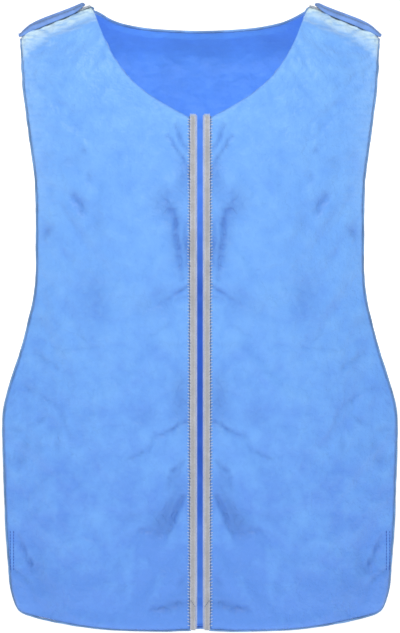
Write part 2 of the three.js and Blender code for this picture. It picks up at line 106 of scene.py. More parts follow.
class Wire:
    """A socket of a material. Python's operators add Math nodes behind it."""

    def __init__(self, tree, socket=None):
        self.tree = tree
        self.socket = socket

    def node(self, kind, settings, values, output=0):
        made = self.tree.nodes.new(kind)
        for name, value in settings.items():
            if name == "stops":
                stops = made.color_ramp.elements
                while len(stops) < len(value):
                    stops.new(0.5)
                for stop, (place, colour) in zip(stops, value):
                    stop.position = place
                    stop.color = (*colour, 1.0)
            else:
                setattr(made, name, value)
        for name, value in values.items():
            socket = made.inputs[name]
            if isinstance(value, Wire):
                self.tree.links.new(value.socket, socket)
            else:
                socket.default_value = value
        return Wire(self.tree, made.outputs[output])

    def math(self, operation, first, second=0.0):
        return self.node("ShaderNodeMath", {"operation": operation}, {0: first, 1: second})

    def __add__(self, other):
        return self.math("ADD", self, other)

    def __radd__(self, other):
        return self.math("ADD", other, self)

    def __sub__(self, other):
        return self.math("SUBTRACT", self, other)

    def __rsub__(self, other):
        return self.math("SUBTRACT", other, self)

    def __mul__(self, other):
        return self.math("MULTIPLY", self, other)

    def __rmul__(self, other):
        return self.math("MULTIPLY", other, self)

    def __abs__(self):
        return self.math("ABSOLUTE", self)

    def sine(self):
        return self.math("SINE", self)

    def into(self, socket):
        self.tree.links.new(self.socket, socket)


def new_material(name, **shader_values):
    """A material with its shader's own sockets set. Gives the material, its shader and a Wire."""
    material = bpy.data.materials.new(name)
    material.use_nodes = True
    shader = material.node_tree.nodes["Principled BSDF"]
    for socket, value in shader_values.items():
        shader.inputs[socket.replace("_", " ")].default_value = value
    return material, shader, Wire(material.node_tree)


bpy.ops.mesh.primitive_plane_add(size=FLOOR_SIZE, location=(0.0, 0.0, FLOOR_LEVEL))
floor = bpy.context.object
floor.name = "floor"
bpy.ops.object.mode_set(mode="EDIT")
bpy.ops.mesh.select_all(action="DESELECT")
floor_mesh = bmesh.from_edit_mesh(floor.data)
for edge in floor_mesh.edges:
    edge.select_set(all(vertex.co.y > 0 for vertex in edge.verts))
bmesh.update_edit_mesh(floor.data)
bpy.ops.mesh.extrude_region_move(TRANSFORM_OT_translate={"value": (0.0, 0.0, BACKDROP_RISE)})
bpy.ops.object.mode_set(mode="OBJECT")
choose(floor)
bpy.ops.object.transform_apply(location=True, rotation=True, scale=True)
floor_material, _, _ = new_material(
    "pale_floor", Base_Color=(0.9, 0.9, 0.9, 1.0), Roughness=0.9,
    Emission_Color=(1.0, 1.0, 1.0, 1.0), Emission_Strength=0.5,
)
floor.data.materials.append(floor_material)

surround = bpy.data.worlds.new("surround")
surround.use_nodes = True
background = surround.node_tree.nodes["Background"]
background.inputs["Color"].default_value = (1.0, 1.0, 1.0, 1.0)
background.inputs["Strength"].default_value = 0.5
scene.world = surround

LIGHTS = [
    {"name": "front_light", "at": (-0.12, -1.3, 1.05), "aim": (0.0, 0.0, -0.34),
     "size": (0.9, 0.9), "power": 10.8},
    {"name": "top_light", "at": (0.0, -0.7, 1.2), "aim": (0.0, 0.0, -0.05),
     "size": (0.6, 0.6), "power": 4.0},
    {"name": "lining_light", "at": (0.0, -0.04, -0.045), "aim": (0.0, 0.3, -0.14),
     "size": (0.22, 0.05), "power": 0.05},
]
for row in LIGHTS:
    light_data = bpy.data.lights.new(row["name"], "AREA")
    light_data.shape = "RECTANGLE"
    light_data.size, light_data.size_y = row["size"]
    light_data.energy = row["power"]
    light = bpy.data.objects.new(row["name"], light_data)
    light.location = row["at"]
    aim = Vector(row["aim"]) - light.location
    light.rotation_euler = aim.to_track_quat("-Z", "Y").to_euler()
    light.visible_camera = False
    scene.collection.objects.link(light)

# Front halves. Each is two layers of coated nylon with thin wadding between them, cut to the
# neckline, armhole, side and hem, and sewn to the grey tape along its front edge. The sewn edges
# hold while the cloth between them is a little loose, so it lies in shallow folds and creases.
WALL = 4.0 * MM
EDGE_WALL = 2.6 * MM
EDGE_WIDTH = 8.0 * MM
EDGE_DIP = 0.5 * MM
LOOSE = 0.009
HELD_INSIDE = 0.12
SETTLE_FRAMES = 24
MOVE_CAP = 5.0 * MM
OUTER_BLUE = (0.145, 0.39, 0.93)
PALE_BLUE = (0.185, 0.455, 0.96)
DEEP_BLUE = (0.108, 0.30, 0.85)
# The colour of the painted shade in folds, creases, hollows and along the border.
FOLD_SHADE_BLUE = (0.08, 0.235, 0.68)
# The colour of the painted highlight below the shoulder seams and at the armholes.
HIGHLIGHT_BLUE = (0.69, 0.91, 1.0)
# The colour of the painted shade in the puckers inside the painted highlight.
PUCKER_BLUE = (0.34, 0.60, 0.90)
LINING_BLUE = (0.115, 0.36, 0.97)
WEAVE_PITCH = 1.1 * MM

# Creases in the left half, from start to end in millimetres across and up, with half their width
# and their depth. The right half has the same ones.
CREASE_COLUMNS = ("place", "start", "end", "width", "depth")
CREASES = [dict(zip(CREASE_COLUMNS, row)) for row in [
    ("neck drag", (29, -131), (14, -158), 1.9, 2.3),
    ("neck drag", (36, -143), (18, -167), 1.9, 2.4),
    ("neck drag", (18, -167), (12, -190), 2.1, 1.8),
    ("neck drag", (25, -127), (19, -141), 1.9, 1.1),
    ("chest beside tape", (31, -222), (27, -246), 2.6, 1.6),
    ("chest beside tape", (26, -252), (20, -300), 2.4, 1.8),
    ("chest beside tape", (38, -206), (33, -226), 2.6, 0.8),
    ("chest beside tape", (15, -240), (13, -286), 2.2, 1.6),
    ("waist beside tape", (35, -320), (13, -308), 2.4, 2.0),
    ("waist beside tape", (26, -323), (14, -319), 2.2, 1.2),
    ("waist beside tape", (56, -364), (33, -349), 2.6, 0.8),
    ("waist beside tape", (46, -374), (15, -372), 2.4, 0.6),
    ("belly", (47, -473), (31, -464), 2.4, 2.0),
    ("belly", (31, -464), (16, -457), 2.6, 2.3),
    ("belly", (80, -498), (57, -489), 2.4, 1.8),
    ("belly", (57, -489), (49, -470), 2.4, 1.0),
    ("hip beside tape", (18, -500), (31, -511), 2.4, 1.8),
    ("hip beside tape", (31, -511), (36, -532), 2.4, 1.6),
    ("hip beside tape", (17, -538), (35, -577), 2.8, 3.4),
    ("hip beside tape", (80, -583), (66, -577), 2.6, 1.2),
    ("hip beside tape", (66, -577), (38, -580), 2.8, 1.8),
    ("hem beside tape", (56, -665), (14, -655), 3.0, 2.2),
    ("hem beside tape", (22, -637), (15, -626), 2.6, 1.2),
    ("side waist", (182, -381), (158, -399), 2.4, 1.5),
    ("side waist", (151, -379), (113, -374), 2.4, 0.9),
    ("side waist", (140, -353), (124, -371), 2.2, 0.7),
    ("side hip", (195, -418), (160, -440), 2.6, 1.3),
    ("side hip", (160, -440), (142, -475), 2.6, 1.4),
    ("side hip", (187, -460), (167, -451), 2.6, 1.2),
    ("strap", (203, -588), (186, -622), 3.0, 2.5),
    ("strap", (199, -607), (189, -617), 2.4, 1.2),
    ("strap", (210, -621), (193, -633), 2.6, 2.0),
    ("strap", (193, -631), (182, -660), 2.8, 1.6),
    ("armhole", (153, -218), (135, -247), 2.4, 0.9),
    ("armhole", (166, -244), (173, -255), 3.2, 1.0),
    ("chest", (140, -209), (129, -227), 3.4, 1.4),
]]
# Hollows in the left half, with their middle, their reach across and along, the turn of their long
# axis from upright, their depth, and how much shade is painted into the cloth there.
HOLLOW_COLUMNS = ("place", "at", "reach", "turn", "depth", "tone")
HOLLOWS = [dict(zip(HOLLOW_COLUMNS, row)) for row in [
    ("beside tape", (19, -191), (8, 20), 0, 1.4, 0.50),
    ("beside tape", (40, -217), (12, 20), -25, 1.6, 0.45),
    ("beside tape", (26, -254), (8, 34), -8, 2.2, 0.62),
    ("beside tape", (15, -262), (5, 34), 0, 1.0, 0.30),
    ("waist", (41, -324), (11, 15), 0, 1.4, 0.30),
    ("waist", (62, -331), (13, 11), 0, 1.0, 0.22),
    ("belly", (21, -432), (10, 28), 0, 2.4, 0.60),
    ("belly", (61, -452), (14, 8), 0, 1.0, 0.25),
    ("hip", (34, -556), (8, 25), 27, 3.4, 0.90),
    ("hip", (48, -566), (12, 13), 0, 1.6, 0.40),
    ("hip", (75, -562), (13, 6), 0, 0.9, 0.28),
    ("hip", (26, -516), (7, 16), 15, 1.2, 0.40),
    ("hem", (26, -659), (24, 7), 0, 2.2, 0.50),
    ("hem", (18, -640), (7, 12), 0, 1.0, 0.35),
    ("hem", (87, -644), (5, 5), 0, 0.5, 0.30),
    ("chest", (115, -244), (7, 12), 0, 0.8, 0.22),
    ("chest", (117, -316), (13, 26), 0, 1.2, 0.30),
    ("chest", (144, -171), (8, 6), 0, 0.6, 0.30),
    ("chest", (128, -158), (4, 4), 0, 0.6, 0.40),
    ("chest", (122, -187), (4, 6), 0, 0.5, 0.28),
    ("chest", (135, -216), (6, 14), -30, 0.9, 0.35),
    ("armhole", (165, -162), (5, 4), 0, 0.5, 0.28),
    ("armhole", (171, -248), (9, 10), 0, 0.8, 0.28),
    ("side waist", (178, -349), (13, 7), 0, 0.8, 0.25),
    ("side hip", (203, -467), (9, 5), 0, 0.8, 0.38),
    ("side hip", (193, -484), (5, 8), 0, 0.8, 0.38),
    ("side hip", (202, -500), (9, 6), 0, 0.9, 0.42),
    ("side hip", (158, -483), (4, 14), 0, 0.8, 0.38),
    ("side hip", (178, -485), (6, 3), 0, 0.5, 0.28),
    ("strap", (179, -624), (9, 26), 0, 1.4, 0.35),
    ("strap", (162, -660), (16, 30), 0, 1.0, 0.25),
]]

# How a crease is made: its ridges, how far across it reaches, in half widths, how it runs out at
# its ends, and how patchy it is. A hollow is left off beyond three times its own reach.
RIDGE = {"share": 0.45, "at": 1.9}
CREASE_REACH = 5.0
CREASE_RUN_OUT = 0.8
CREASE_ENDS = {"at": 0.15, "share": 0.45}
CREASE_PATCHES = {"spacing": 9 * MM, "least": 0.75, "span": 0.5}
HOLLOW_REACH = 3.0
DARKEST_CREASE = 3.4 * MM
WANDER = {"far": 2.2 * MM, "far_spacing": 17 * MM, "near": 1.2 * MM, "near_spacing": 6 * MM}

# Small corrections of the soft outline at its corners, its hem and its shoulder line.
CORNER = {"reach": 20 * MM, "passes": 3}
HEM_CORNER = {"below": -0.6, "beyond": 0.15, "slope": 0.9}
HEM_RISE = {"height": 1.6 * MM, "across": 30 * MM, "from": -0.665, "to": -0.69}
SHOULDER_BOW = {
    "rise": 2.8 * MM, "tip": 1.2 * MM, "from": 122 * MM, "to": 203 * MM, "level": -16 * MM,
    "reach": 34 * MM, "neck": 2.3 * MM, "neck_at": 116 * MM, "neck_reach": 26 * MM}
SEAM_LIFT = {"height": 1.8 * MM, "reach": 16 * MM}

# The shoulder seam's direction, the puckers and the swell below it, and the painted highlight that
# lightens the cloth there and at the armholes.
SEAM_RUN = {"across": 0.92, "up": -0.39}
SEAM_CRINKLE = {
    "reach": 26 * MM, "start": 4.0 * MM, "height": 1.3 * MM, "length": 22 * MM,
    "spacing": 8 * MM, "slant": 0.4, "sharpness": 2.4, "finer_length": 2.3, "finer_spacing": 1.6,
    "finer_share": 0.5, "level": 0.5}
SEAM_SWELL = {"height": 2.0 * MM, "at": 16 * MM, "reach": 11 * MM}
SEAM_HIGHLIGHT = {"from": 8 * MM, "to": 44 * MM, "mottle": 0.22, "finer_mottle": 0.2}
ARMHOLE_HIGHLIGHT = {
    "share": 0.16, "reach": 22 * MM, "from": -0.36, "to": -0.10, "inner": 0.12, "outer": 0.17}
# A line of painted shade along the sheet's border: its width and how dark it is.
EDGE_LINE = {"width": 1.3 * MM, "tone": 0.6}
EDGE_KEEPS = {"crease": 0.35, "pucker": 0.1}
NECK_CALM = {"from": 8 * MM, "to": 50 * MM, "dip": 1.2 * MM}
CLOTH_CRINKLE = {
    "height": 0.45 * MM, "spacing": 15 * MM, "fading": 0.9, "finer": 2.0, "layers": 3}

# How the cloth's outer layer is found in the CAD's wall, and its seam and its opening in the layer.
FACING = 0.8
SMOOTH_ANGLE = math.radians(40)
NOTCH_ANGLE = math.radians(35)
DOUBLES = 0.01 * MM
SEAM_WIDTH = 1.0 * MM
OPENING_WIDTH = 2.0 * MM
FORWARD = Vector((0.0, -1.0, 0.0))
BACKWARD = Vector((0.0, 1.0, 0.0))


def bare_copy(node_name, name):
    """A piece of its own from a CAD node, with its points joined up and its quads put back."""
    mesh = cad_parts[node_name].data.copy()
    mesh.materials.clear()
    piece = bpy.data.objects.new(name, mesh)
    scene.collection.objects.link(piece)
    choose(piece)
    bpy.ops.object.mode_set(mode="EDIT")
    bpy.ops.mesh.select_all(action="SELECT")
    bpy.ops.mesh.remove_doubles(threshold=DOUBLES)
    bpy.ops.mesh.tris_convert_to_quads(
        face_threshold=math.radians(60), shape_threshold=math.radians(75))
    bpy.ops.object.mode_set(mode="OBJECT")
    return piece


def keep_outer_layer(piece, seed_at, seed_facing):
    """Cuts a wall of cloth down to its outer layer: all that lies smooth with the seed face."""
    choose(piece)
    bpy.ops.object.mode_set(mode="EDIT")
    bpy.ops.mesh.select_mode(type="FACE")
    bpy.ops.mesh.select_all(action="DESELECT")
    mesh = bmesh.from_edit_mesh(piece.data)
    facing = [face for face in mesh.faces if face.normal.dot(seed_facing) > FACING]
    seed = min(facing, key=lambda face: (face.calc_center_median() - seed_at).length)
    seed.select_set(True)
    bmesh.update_edit_mesh(piece.data)
    bpy.ops.mesh.faces_select_linked_flat(sharpness=SMOOTH_ANGLE)
    bpy.ops.mesh.select_all(action="INVERT")
    bpy.ops.mesh.delete(type="FACE")
    bpy.ops.object.mode_set(mode="OBJECT")


def fill_notches(sheet):
    """Puts back the slivers at the border that were not cut out with the rest of the layer."""
    edit = bmesh.new()
    edit.from_mesh(sheet.data)
    for vertex in [vertex for vertex in edit.verts if vertex.is_boundary]:
        ends = [edge.other_vert(vertex) for edge in vertex.link_edges if edge.is_boundary]
        if (ends[0].co - vertex.co).angle(ends[1].co - vertex.co) > NOTCH_ANGLE:
            continue
        face = edit.faces.new((vertex, *ends))
        face.normal_update()
        if face.normal.dot(vertex.normal) < 0.0:
            face.normal_flip()
    edit.to_mesh(sheet.data)
    edit.free()


def border_points(piece, chosen=lambda point: True):
    """The numbers of a sheet's border points that are chosen by their place."""
    mesh = bmesh.new()
    mesh.from_mesh(piece.data)
    numbers = [vertex.index for vertex in mesh.verts if vertex.is_boundary and chosen(vertex.co)]
    mesh.free()
    return numbers


def keep_corner(piece, number):
    """Keeps one border point a sharp corner when the sheet is subdivided."""
    crease = piece.data.attributes.new("crease_vert", "FLOAT", "POINT")
    crease.data[number].value = 1.0


def distance_field(points):
    """A function that gives the distance from a place to the nearest of the points."""
    tree = KDTree(len(points))
    for number, point in enumerate(points):
        tree.insert(point, number)
    tree.balance()
    return lambda place: tree.find(place)[2]


def clamp(value):
    return min(1.0, max(0.0, value))


def ramp(value, start, end):
    """A smooth share from 0 at the start to 1 at the end."""
    share = clamp((value - start) / (end - start))
    return share * share * (3.0 - 2.0 * share)


def finish_modifier(piece, kind, **settings):
    """Adds a modifier by its kind and applies it."""
    choose(piece)
    modifier = piece.modifiers.new(kind.lower(), kind)
    for name, value in settings.items():
        setattr(modifier, name, value)
    bpy.ops.object.modifier_apply(modifier=modifier.name)


def subdivide(piece, levels):
    finish_modifier(piece, "SUBSURF", levels=levels, render_levels=levels,
                    boundary_smooth="PRESERVE_CORNERS")


def round_corner(sheet, chosen, outermost):
    """Rounds the border near the outermost of the chosen border points, left and right."""
    edit = bmesh.new()
    edit.from_mesh(sheet.data)
    for sign in (1.0, -1.0):
        own = [vertex for vertex in edit.verts
               if vertex.is_boundary and vertex.co.x * sign > 0.0 and chosen(vertex.co)]
        if not own:
            continue
        place = max(own, key=lambda vertex: outermost(vertex.co)).co.copy()
        beside = {}
        for vertex in own:
            if (vertex.co - place).length < CORNER["reach"]:
                beside[vertex] = [edge.other_vert(vertex) for edge in vertex.link_edges
                                  if edge.is_boundary]
        for _ in range(CORNER["passes"]):
            middles = {vertex: (ends[0].co + ends[1].co) / 2 for vertex, ends in beside.items()}
            for vertex, middle in middles.items():
                vertex.co = vertex.co.lerp(middle, 0.5)
    edit.to_mesh(sheet.data)
    edit.free()


def round_hem_corners(sheet):
    round_corner(
        sheet,
        lambda point: point.z < HEM_CORNER["below"] and abs(point.x) > HEM_CORNER["beyond"],
        lambda point: abs(point.x) - HEM_CORNER["slope"] * point.z)


def raise_hem(sheet):
    """Lifts the front hem a little where it meets the tape."""
    for vertex in sheet.data.vertices:
        near_tape = 1.0 - ramp(abs(vertex.co.x), opening_edge, opening_edge + HEM_RISE["across"])
        near_hem = ramp(vertex.co.z, HEM_RISE["from"], HEM_RISE["to"])
        vertex.co.z += HEM_RISE["height"] * near_tape * near_hem
    sheet.data.update()


def settle(sheet, neck_distance=None):
    """Lets the loose cloth buckle between its sewn edges, and caps how far a point moves. The cloth
    beside the neckline, where one is given, is held as well."""
    before = [vertex.co.copy() for vertex in sheet.data.vertices]
    group = sheet.vertex_groups.new(name="held")
    group.add(range(len(before)), HELD_INSIDE, "REPLACE")
    if neck_distance:
        for number, place in enumerate(before):
            free = ramp(neck_distance(place), NECK_CALM["from"], NECK_CALM["to"])
            group.add([number], 1.0 - (1.0 - HELD_INSIDE) * free, "REPLACE")
    group.add(border_points(sheet), 1.0, "REPLACE")
    choose(sheet)
    modifier = sheet.modifiers.new("cloth", "CLOTH")
    cloth = modifier.settings
    cloth.quality = 5
    cloth.mass = 0.15
    cloth.air_damping = 4.0
    cloth.tension_stiffness = 40.0
    cloth.compression_stiffness = 40.0
    cloth.shear_stiffness = 12.0
    cloth.bending_stiffness = 0.6
    cloth.vertex_group_mass = "held"
    cloth.pin_stiffness = 1.0
    cloth.shrink_min = -LOOSE
    cloth.effector_weights.gravity = 0.15
    modifier.collision_settings.use_collision = False
    modifier.point_cache.frame_start = 1
    modifier.point_cache.frame_end = SETTLE_FRAMES
    for step in range(1, SETTLE_FRAMES + 1):
        scene.frame_set(step)
    bpy.ops.object.modifier_apply(modifier=modifier.name)
    for vertex, start in zip(sheet.data.vertices, before):
        move = vertex.co - start
        if move.length > MOVE_CAP:
            vertex.co = start + move * (MOVE_CAP / move.length)
    sheet.vertex_groups.clear()


def fold_at(x, z, creases, hollows):
    """The lift of the cloth by its creases and hollows at a place, and the shade painted into them.
    """
    here = Vector((x, z))
    for size in ("far", "near"):
        spot = Vector((x, 0.0, z)) / WANDER[size + "_spacing"]
        stray = noise.noise_vector(spot)
        here += Vector((stray.x, stray.z)) * WANDER[size]
    lift = 0.0
    dark = 0.0
    for crease in creases:
        start = Vector(crease["start"]) * MM
        run = Vector(crease["end"]) * MM - start
        share = (here - start).dot(run) / run.length_squared
        if not -CREASE_RUN_OUT < share < 1.0 + CREASE_RUN_OUT:
            continue
        inside = clamp(share)
        distance = (here - start - run * inside).length / (crease["width"] * MM)
        if distance > CREASE_REACH:
            continue
        groove = math.exp(-distance ** 2)
        ridge = RIDGE["share"] * math.exp(-(distance - RIDGE["at"]) ** 2)
        along = CREASE_ENDS["at"] + (1.0 - 2.0 * CREASE_ENDS["at"]) * inside
        fade = CREASE_ENDS["share"] + (1.0 - CREASE_ENDS["share"]) * math.sin(math.pi * along)
        spot = (x / CREASE_PATCHES["spacing"], z / CREASE_PATCHES["spacing"], 4.0)
        patchy = CREASE_PATCHES["least"] + CREASE_PATCHES["span"] * noise.noise(spot)
        depth = crease["depth"] * MM * fade * patchy
        lift += depth * (ridge - groove)
        # Painted shade in the crease's groove, darker the deeper it is.
        dark += groove * min(1.0, depth / DARKEST_CREASE)
    for hollow in hollows:
        away = (here - Vector(hollow["at"]) * MM) / MM
        if away.length > HOLLOW_REACH * max(hollow["reach"]):
            continue
        turn = math.radians(hollow["turn"])
        across = (away.x * math.cos(turn) + away.y * math.sin(turn)) / hollow["reach"][0]
        along = (away.y * math.cos(turn) - away.x * math.sin(turn)) / hollow["reach"][1]
        amount = math.exp(-across ** 2 - along ** 2)
        lift -= hollow["depth"] * MM * amount
        # Painted shade in the hollow.
        dark += hollow["tone"] * amount
    return lift, dark


def bow_shoulder(piece):
    """Bows the shoulder line up a little at the neck and in its outer half, on any piece there."""
    bow = SHOULDER_BOW
    for vertex in piece.data.vertices:
        across = abs(vertex.co.x)
        share = clamp((across - bow["from"]) / (bow["to"] - bow["from"]))
        near = math.exp(-(vertex.co.z - bow["level"]) ** 2 / bow["reach"] ** 2)
        rise = bow["rise"] * math.sin(math.pi * share ** 3)
        rise += bow["neck"] * math.exp(-((across - bow["neck_at"]) / bow["neck_reach"]) ** 2)
        vertex.co.z += near * (rise - bow["tip"] * share ** 6)
    piece.data.update()


def seam_puckers(across, z, below):
    """The puckers of the cloth below the shoulder seam, coarse and fine, from -1 to 1."""
    along = SEAM_RUN["across"] * across + SEAM_RUN["up"] * z
    length = along / SEAM_CRINKLE["length"]
    slanted = (below + SEAM_CRINKLE["slant"] * along) / SEAM_CRINKLE["spacing"]
    coarse = noise.noise((length, slanted, 2.0))
    fine = noise.noise((
        SEAM_CRINKLE["finer_length"] * length, SEAM_CRINKLE["finer_spacing"] * slanted, 7.0))
    return coarse, fine


def crinkle(sheet, creases, hollows, seam_distance, edge_distance, seam_share=1.0,
            neck_distance=None):
    """Moves the cloth in and out for its creases, hollows, the puckers under the seam and fine
    crinkles. Two attributes hold the shade painted into its folds and along its border, and the
    highlight painted near the seam and at the armholes."""
    bow_shoulder(sheet)
    normals = [vertex.normal.copy() for vertex in sheet.data.vertices]
    folded = []
    faded = []
    for vertex, normal in zip(sheet.data.vertices, normals):
        x, y, z = vertex.co
        across = abs(x)
        from_edge = edge_distance(vertex.co)
        inside = ramp(from_edge, 0.0, EDGE_WIDTH)
        lift, dark = fold_at(across, z, creases, hollows)
        lift *= min(1.0, EDGE_KEEPS["crease"] + inside)
        # Painted shade along the border, where the edge turns away.
        dark += EDGE_LINE["tone"] * math.exp(-(from_edge / EDGE_LINE["width"]) ** 2)
        below = seam_distance(vertex.co)
        pale = 0.0
        if below < 3.0 * SEAM_CRINKLE["reach"]:
            pucker, finer = seam_puckers(across, z, below)
            strength = math.exp(-(below / SEAM_CRINKLE["reach"]) ** 2)
            strength *= min(1.0, below / SEAM_CRINKLE["start"])
            strength *= EDGE_KEEPS["pucker"] + (1.0 - EDGE_KEEPS["pucker"]) * inside
            strength *= seam_share
            puckered = 1.0 - abs(pucker) * SEAM_CRINKLE["sharpness"] - SEAM_CRINKLE["level"]
            puckered += SEAM_CRINKLE["finer_share"] * finer
            lift += SEAM_CRINKLE["height"] * strength * puckered
            swell = (below - SEAM_SWELL["at"]) / SEAM_SWELL["reach"]
            lift += SEAM_SWELL["height"] * math.exp(-swell ** 2) * inside * seam_share
            # Painted highlight below the shoulder seam, mottled by the puckers.
            reach = SEAM_HIGHLIGHT["to"] - SEAM_HIGHLIGHT["from"]
            pale = 1.0 - (below - SEAM_HIGHLIGHT["from"]) / reach
            pale += SEAM_HIGHLIGHT["mottle"] * pucker + SEAM_HIGHLIGHT["finer_mottle"] * finer
        # Painted highlight at the armholes, where the cloth turns away from the front light.
        if across > ARMHOLE_HIGHLIGHT["inner"]:
            armhole_light = ramp(z, ARMHOLE_HIGHLIGHT["from"], ARMHOLE_HIGHLIGHT["to"])
            armhole_light *= ramp(across, ARMHOLE_HIGHLIGHT["inner"], ARMHOLE_HIGHLIGHT["outer"])
            armhole_light *= math.exp(-from_edge / ARMHOLE_HIGHLIGHT["reach"])
            pale = max(pale, 0.0) + ARMHOLE_HIGHLIGHT["share"] * armhole_light
        spot = Vector((across, y, z)) / CLOTH_CRINKLE["spacing"]
        crumpled = noise.fractal(
            spot, CLOTH_CRINKLE["fading"], CLOTH_CRINKLE["finer"], CLOTH_CRINKLE["layers"])
        lift += CLOTH_CRINKLE["height"] * inside * crumpled
        if neck_distance:
            calm = 1.0 - ramp(neck_distance(vertex.co), NECK_CALM["from"], NECK_CALM["to"])
            lift = lift * (1.0 - calm) - NECK_CALM["dip"] * calm * inside
        lift -= EDGE_DIP * (1.0 - inside)
        vertex.co += normal * lift
        vertex.co.z += SEAM_LIFT["height"] * math.exp(-(below / SEAM_LIFT["reach"]) ** 2)
        # Painted shade, kept per point for the material.
        folded.append(clamp(dark))
        # Painted highlight, kept per point for the material.
        faded.append(clamp(pale))
    for name, values in (("folded", folded), ("faded", faded)):
        attribute = sheet.data.attributes.new(name, "FLOAT", "POINT")
        attribute.data.foreach_set("value", values)


def pad_out(sheet, edge_distance):
    """Gives the sheet its wall, thinner at its sewn edges, with the lining as a second material."""
    thickness = sheet.vertex_groups.new(name="thickness")
    thinnest = EDGE_WALL / WALL
    for vertex in sheet.data.vertices:
        edge = min(1.0, edge_distance(vertex.co) / EDGE_WIDTH)
        thickness.add([vertex.index], thinnest + (1.0 - thinnest) * edge, "REPLACE")
    finish_modifier(sheet, "SOLIDIFY", thickness=WALL, offset=-1.0, vertex_group="thickness",
                    thickness_vertex_group=0.0, material_offset=1)
    sheet.vertex_groups.clear()
    bpy.ops.object.shade_smooth()


def place_of(wire):
    """The Object coordinates, and their x, y and z."""
    coordinates = wire.node("ShaderNodeTexCoord", {}, {}, "Object")
    parts = wire.node("ShaderNodeSeparateXYZ", {}, {"Vector": coordinates})
    outputs = parts.socket.node.outputs
    return coordinates, [Wire(wire.tree, outputs[axis]) for axis in "XYZ"]


def attribute_of(wire, name):
    return wire.node("ShaderNodeAttribute", {"attribute_name": name}, {}, "Fac")


def noise_of(wire, place, scale, detail, roughness=0.5):
    return wire.node("ShaderNodeTexNoise", {}, {
        "Vector": place, "Scale": scale, "Detail": detail, "Roughness": roughness})


def smooth_share(wire, value, start, end):
    """A smooth share from 0 at the start to 1 at the end."""
    return wire.node("ShaderNodeMapRange", {"interpolation_type": "SMOOTHSTEP"}, {
        "Value": value, "From Min": start, "From Max": end})


def thin_lines(wire, pattern, width):
    """Thin lines where a pattern that varies round a half passes through it."""
    return wire.node("ShaderNodeMapRange", {"interpolation_type": "SMOOTHSTEP"}, {
        "Value": abs(pattern - 0.5), "From Min": 0.0, "From Max": width,
        "To Min": 1.0, "To Max": 0.0})


def times(colour, share):
    """A colour made darker or lighter."""
    return tuple(share * part for part in colour)


def colour_from(wire, share, *stops):
    """A colour that runs through stops, each a place and a colour, as a share varies."""
    return wire.node("ShaderNodeValToRGB", {"stops": stops}, {"Fac": share})


def blend(wire, share, first, second):
    """One colour blended into another by a share that varies."""
    return wire.node("ShaderNodeMix", {"data_type": "RGBA"}, {0: share, 6: first, 7: second}, 2)


def bump_of(wire, height, strength, distance, **settings):
    return wire.node("ShaderNodeBump", settings, {
        "Strength": strength, "Distance": distance, "Height": height})


def cloth_bump(wire, height, distance, x, z):
    """Bump for coated nylon: crinkles of a given height, and a plain weave."""
    crinkled = bump_of(wire, height, strength=1.0, distance=distance)
    turns = 2.0 * math.pi / WEAVE_PITCH
    weave = (x * turns).sine() * (z * turns).sine()
    return wire.node("ShaderNodeBump", {}, {
        "Strength": 0.10, "Distance": 0.0002, "Height": weave, "Normal": crinkled})


def show(shader, colour, normal):
    """Gives a material its colour and its bump."""
    colour.into(shader.inputs["Base Color"])
    normal.into(shader.inputs["Normal"])


# Coated nylon, with a web of fine crumples. Painted shade darkens its folds, hollows, creases,
# border and the cloth towards the hem, and a painted highlight lightens it below the shoulder seams
# and at the armholes. These are alike on the two front halves, where y is below 0, and run on
# across the back.
outer_cloth, shader, wire = new_material(
    "outer_cloth", Roughness=0.46, Sheen_Weight=0.15, Sheen_Roughness=0.5)
_, (x, y, z) = place_of(wire)
from_middle = abs(x)
behind = y.math("GREATER_THAN", y, 0.0)
mirrored = wire.node("ShaderNodeCombineXYZ", {}, {
    "X": from_middle + behind * (x - from_middle), "Y": y, "Z": z})
slanted = wire.node("ShaderNodeMapping", {}, {
    "Vector": mirrored, "Rotation": (0.0, math.radians(-28), 0.0), "Scale": (1.0, 1.0, 3.2)})
clouds = noise_of(wire, mirrored, scale=12.0, detail=4.0, roughness=0.6)
crumples = noise_of(wire, mirrored, scale=48.0, detail=4.0, roughness=0.62)
crease_web = noise_of(wire, mirrored, scale=26.0, detail=5.0, roughness=0.55)
scrunch = noise_of(wire, mirrored, scale=80.0, detail=1.0)
puckers = noise_of(wire, slanted, scale=75.0, detail=2.0)
# Painted shade in the folds, creases, hollows and along the border.
folded = attribute_of(wire, "folded")
# Painted highlight below the shoulder seams and at the armholes.
faded = attribute_of(wire, "faded")
# Thin crease lines: grooves in the bump, with painted shade in their colour.
hairlines = thin_lines(wire, crease_web, 0.016) * (crumples * 1.6 - 0.45)
scrunch_lines = thin_lines(wire, scrunch, 0.10) * folded
# Painted shade: the tone falls towards the hem, through z and hem_shade, as the light falls off.
hem_shade = smooth_share(wire, z, -0.50, -0.68)
tone = clouds * 0.32 + crumples * 0.40 + (z + 0.35) * 0.36 - hem_shade * 0.08 + 0.145
colour = colour_from(wire, tone, (0.32, DEEP_BLUE), (0.5, OUTER_BLUE), (0.68, PALE_BLUE))
# Painted shade: the folds, hollows, border, scrunch lines and hairlines are blended towards the
# shade colour.
dark_share = folded * 0.95 + scrunch_lines * 0.28 + hairlines * 0.22
colour = blend(wire, dark_share, colour, (*FOLD_SHADE_BLUE, 1.0))
# Painted shade in the puckers below the seam, inside the painted highlight.
pucker_shade = smooth_share(wire, puckers, 0.53, 0.36)
highlight_colour = blend(wire, pucker_shade * 0.6, (*HIGHLIGHT_BLUE, 1.0), (*PUCKER_BLUE, 1.0))
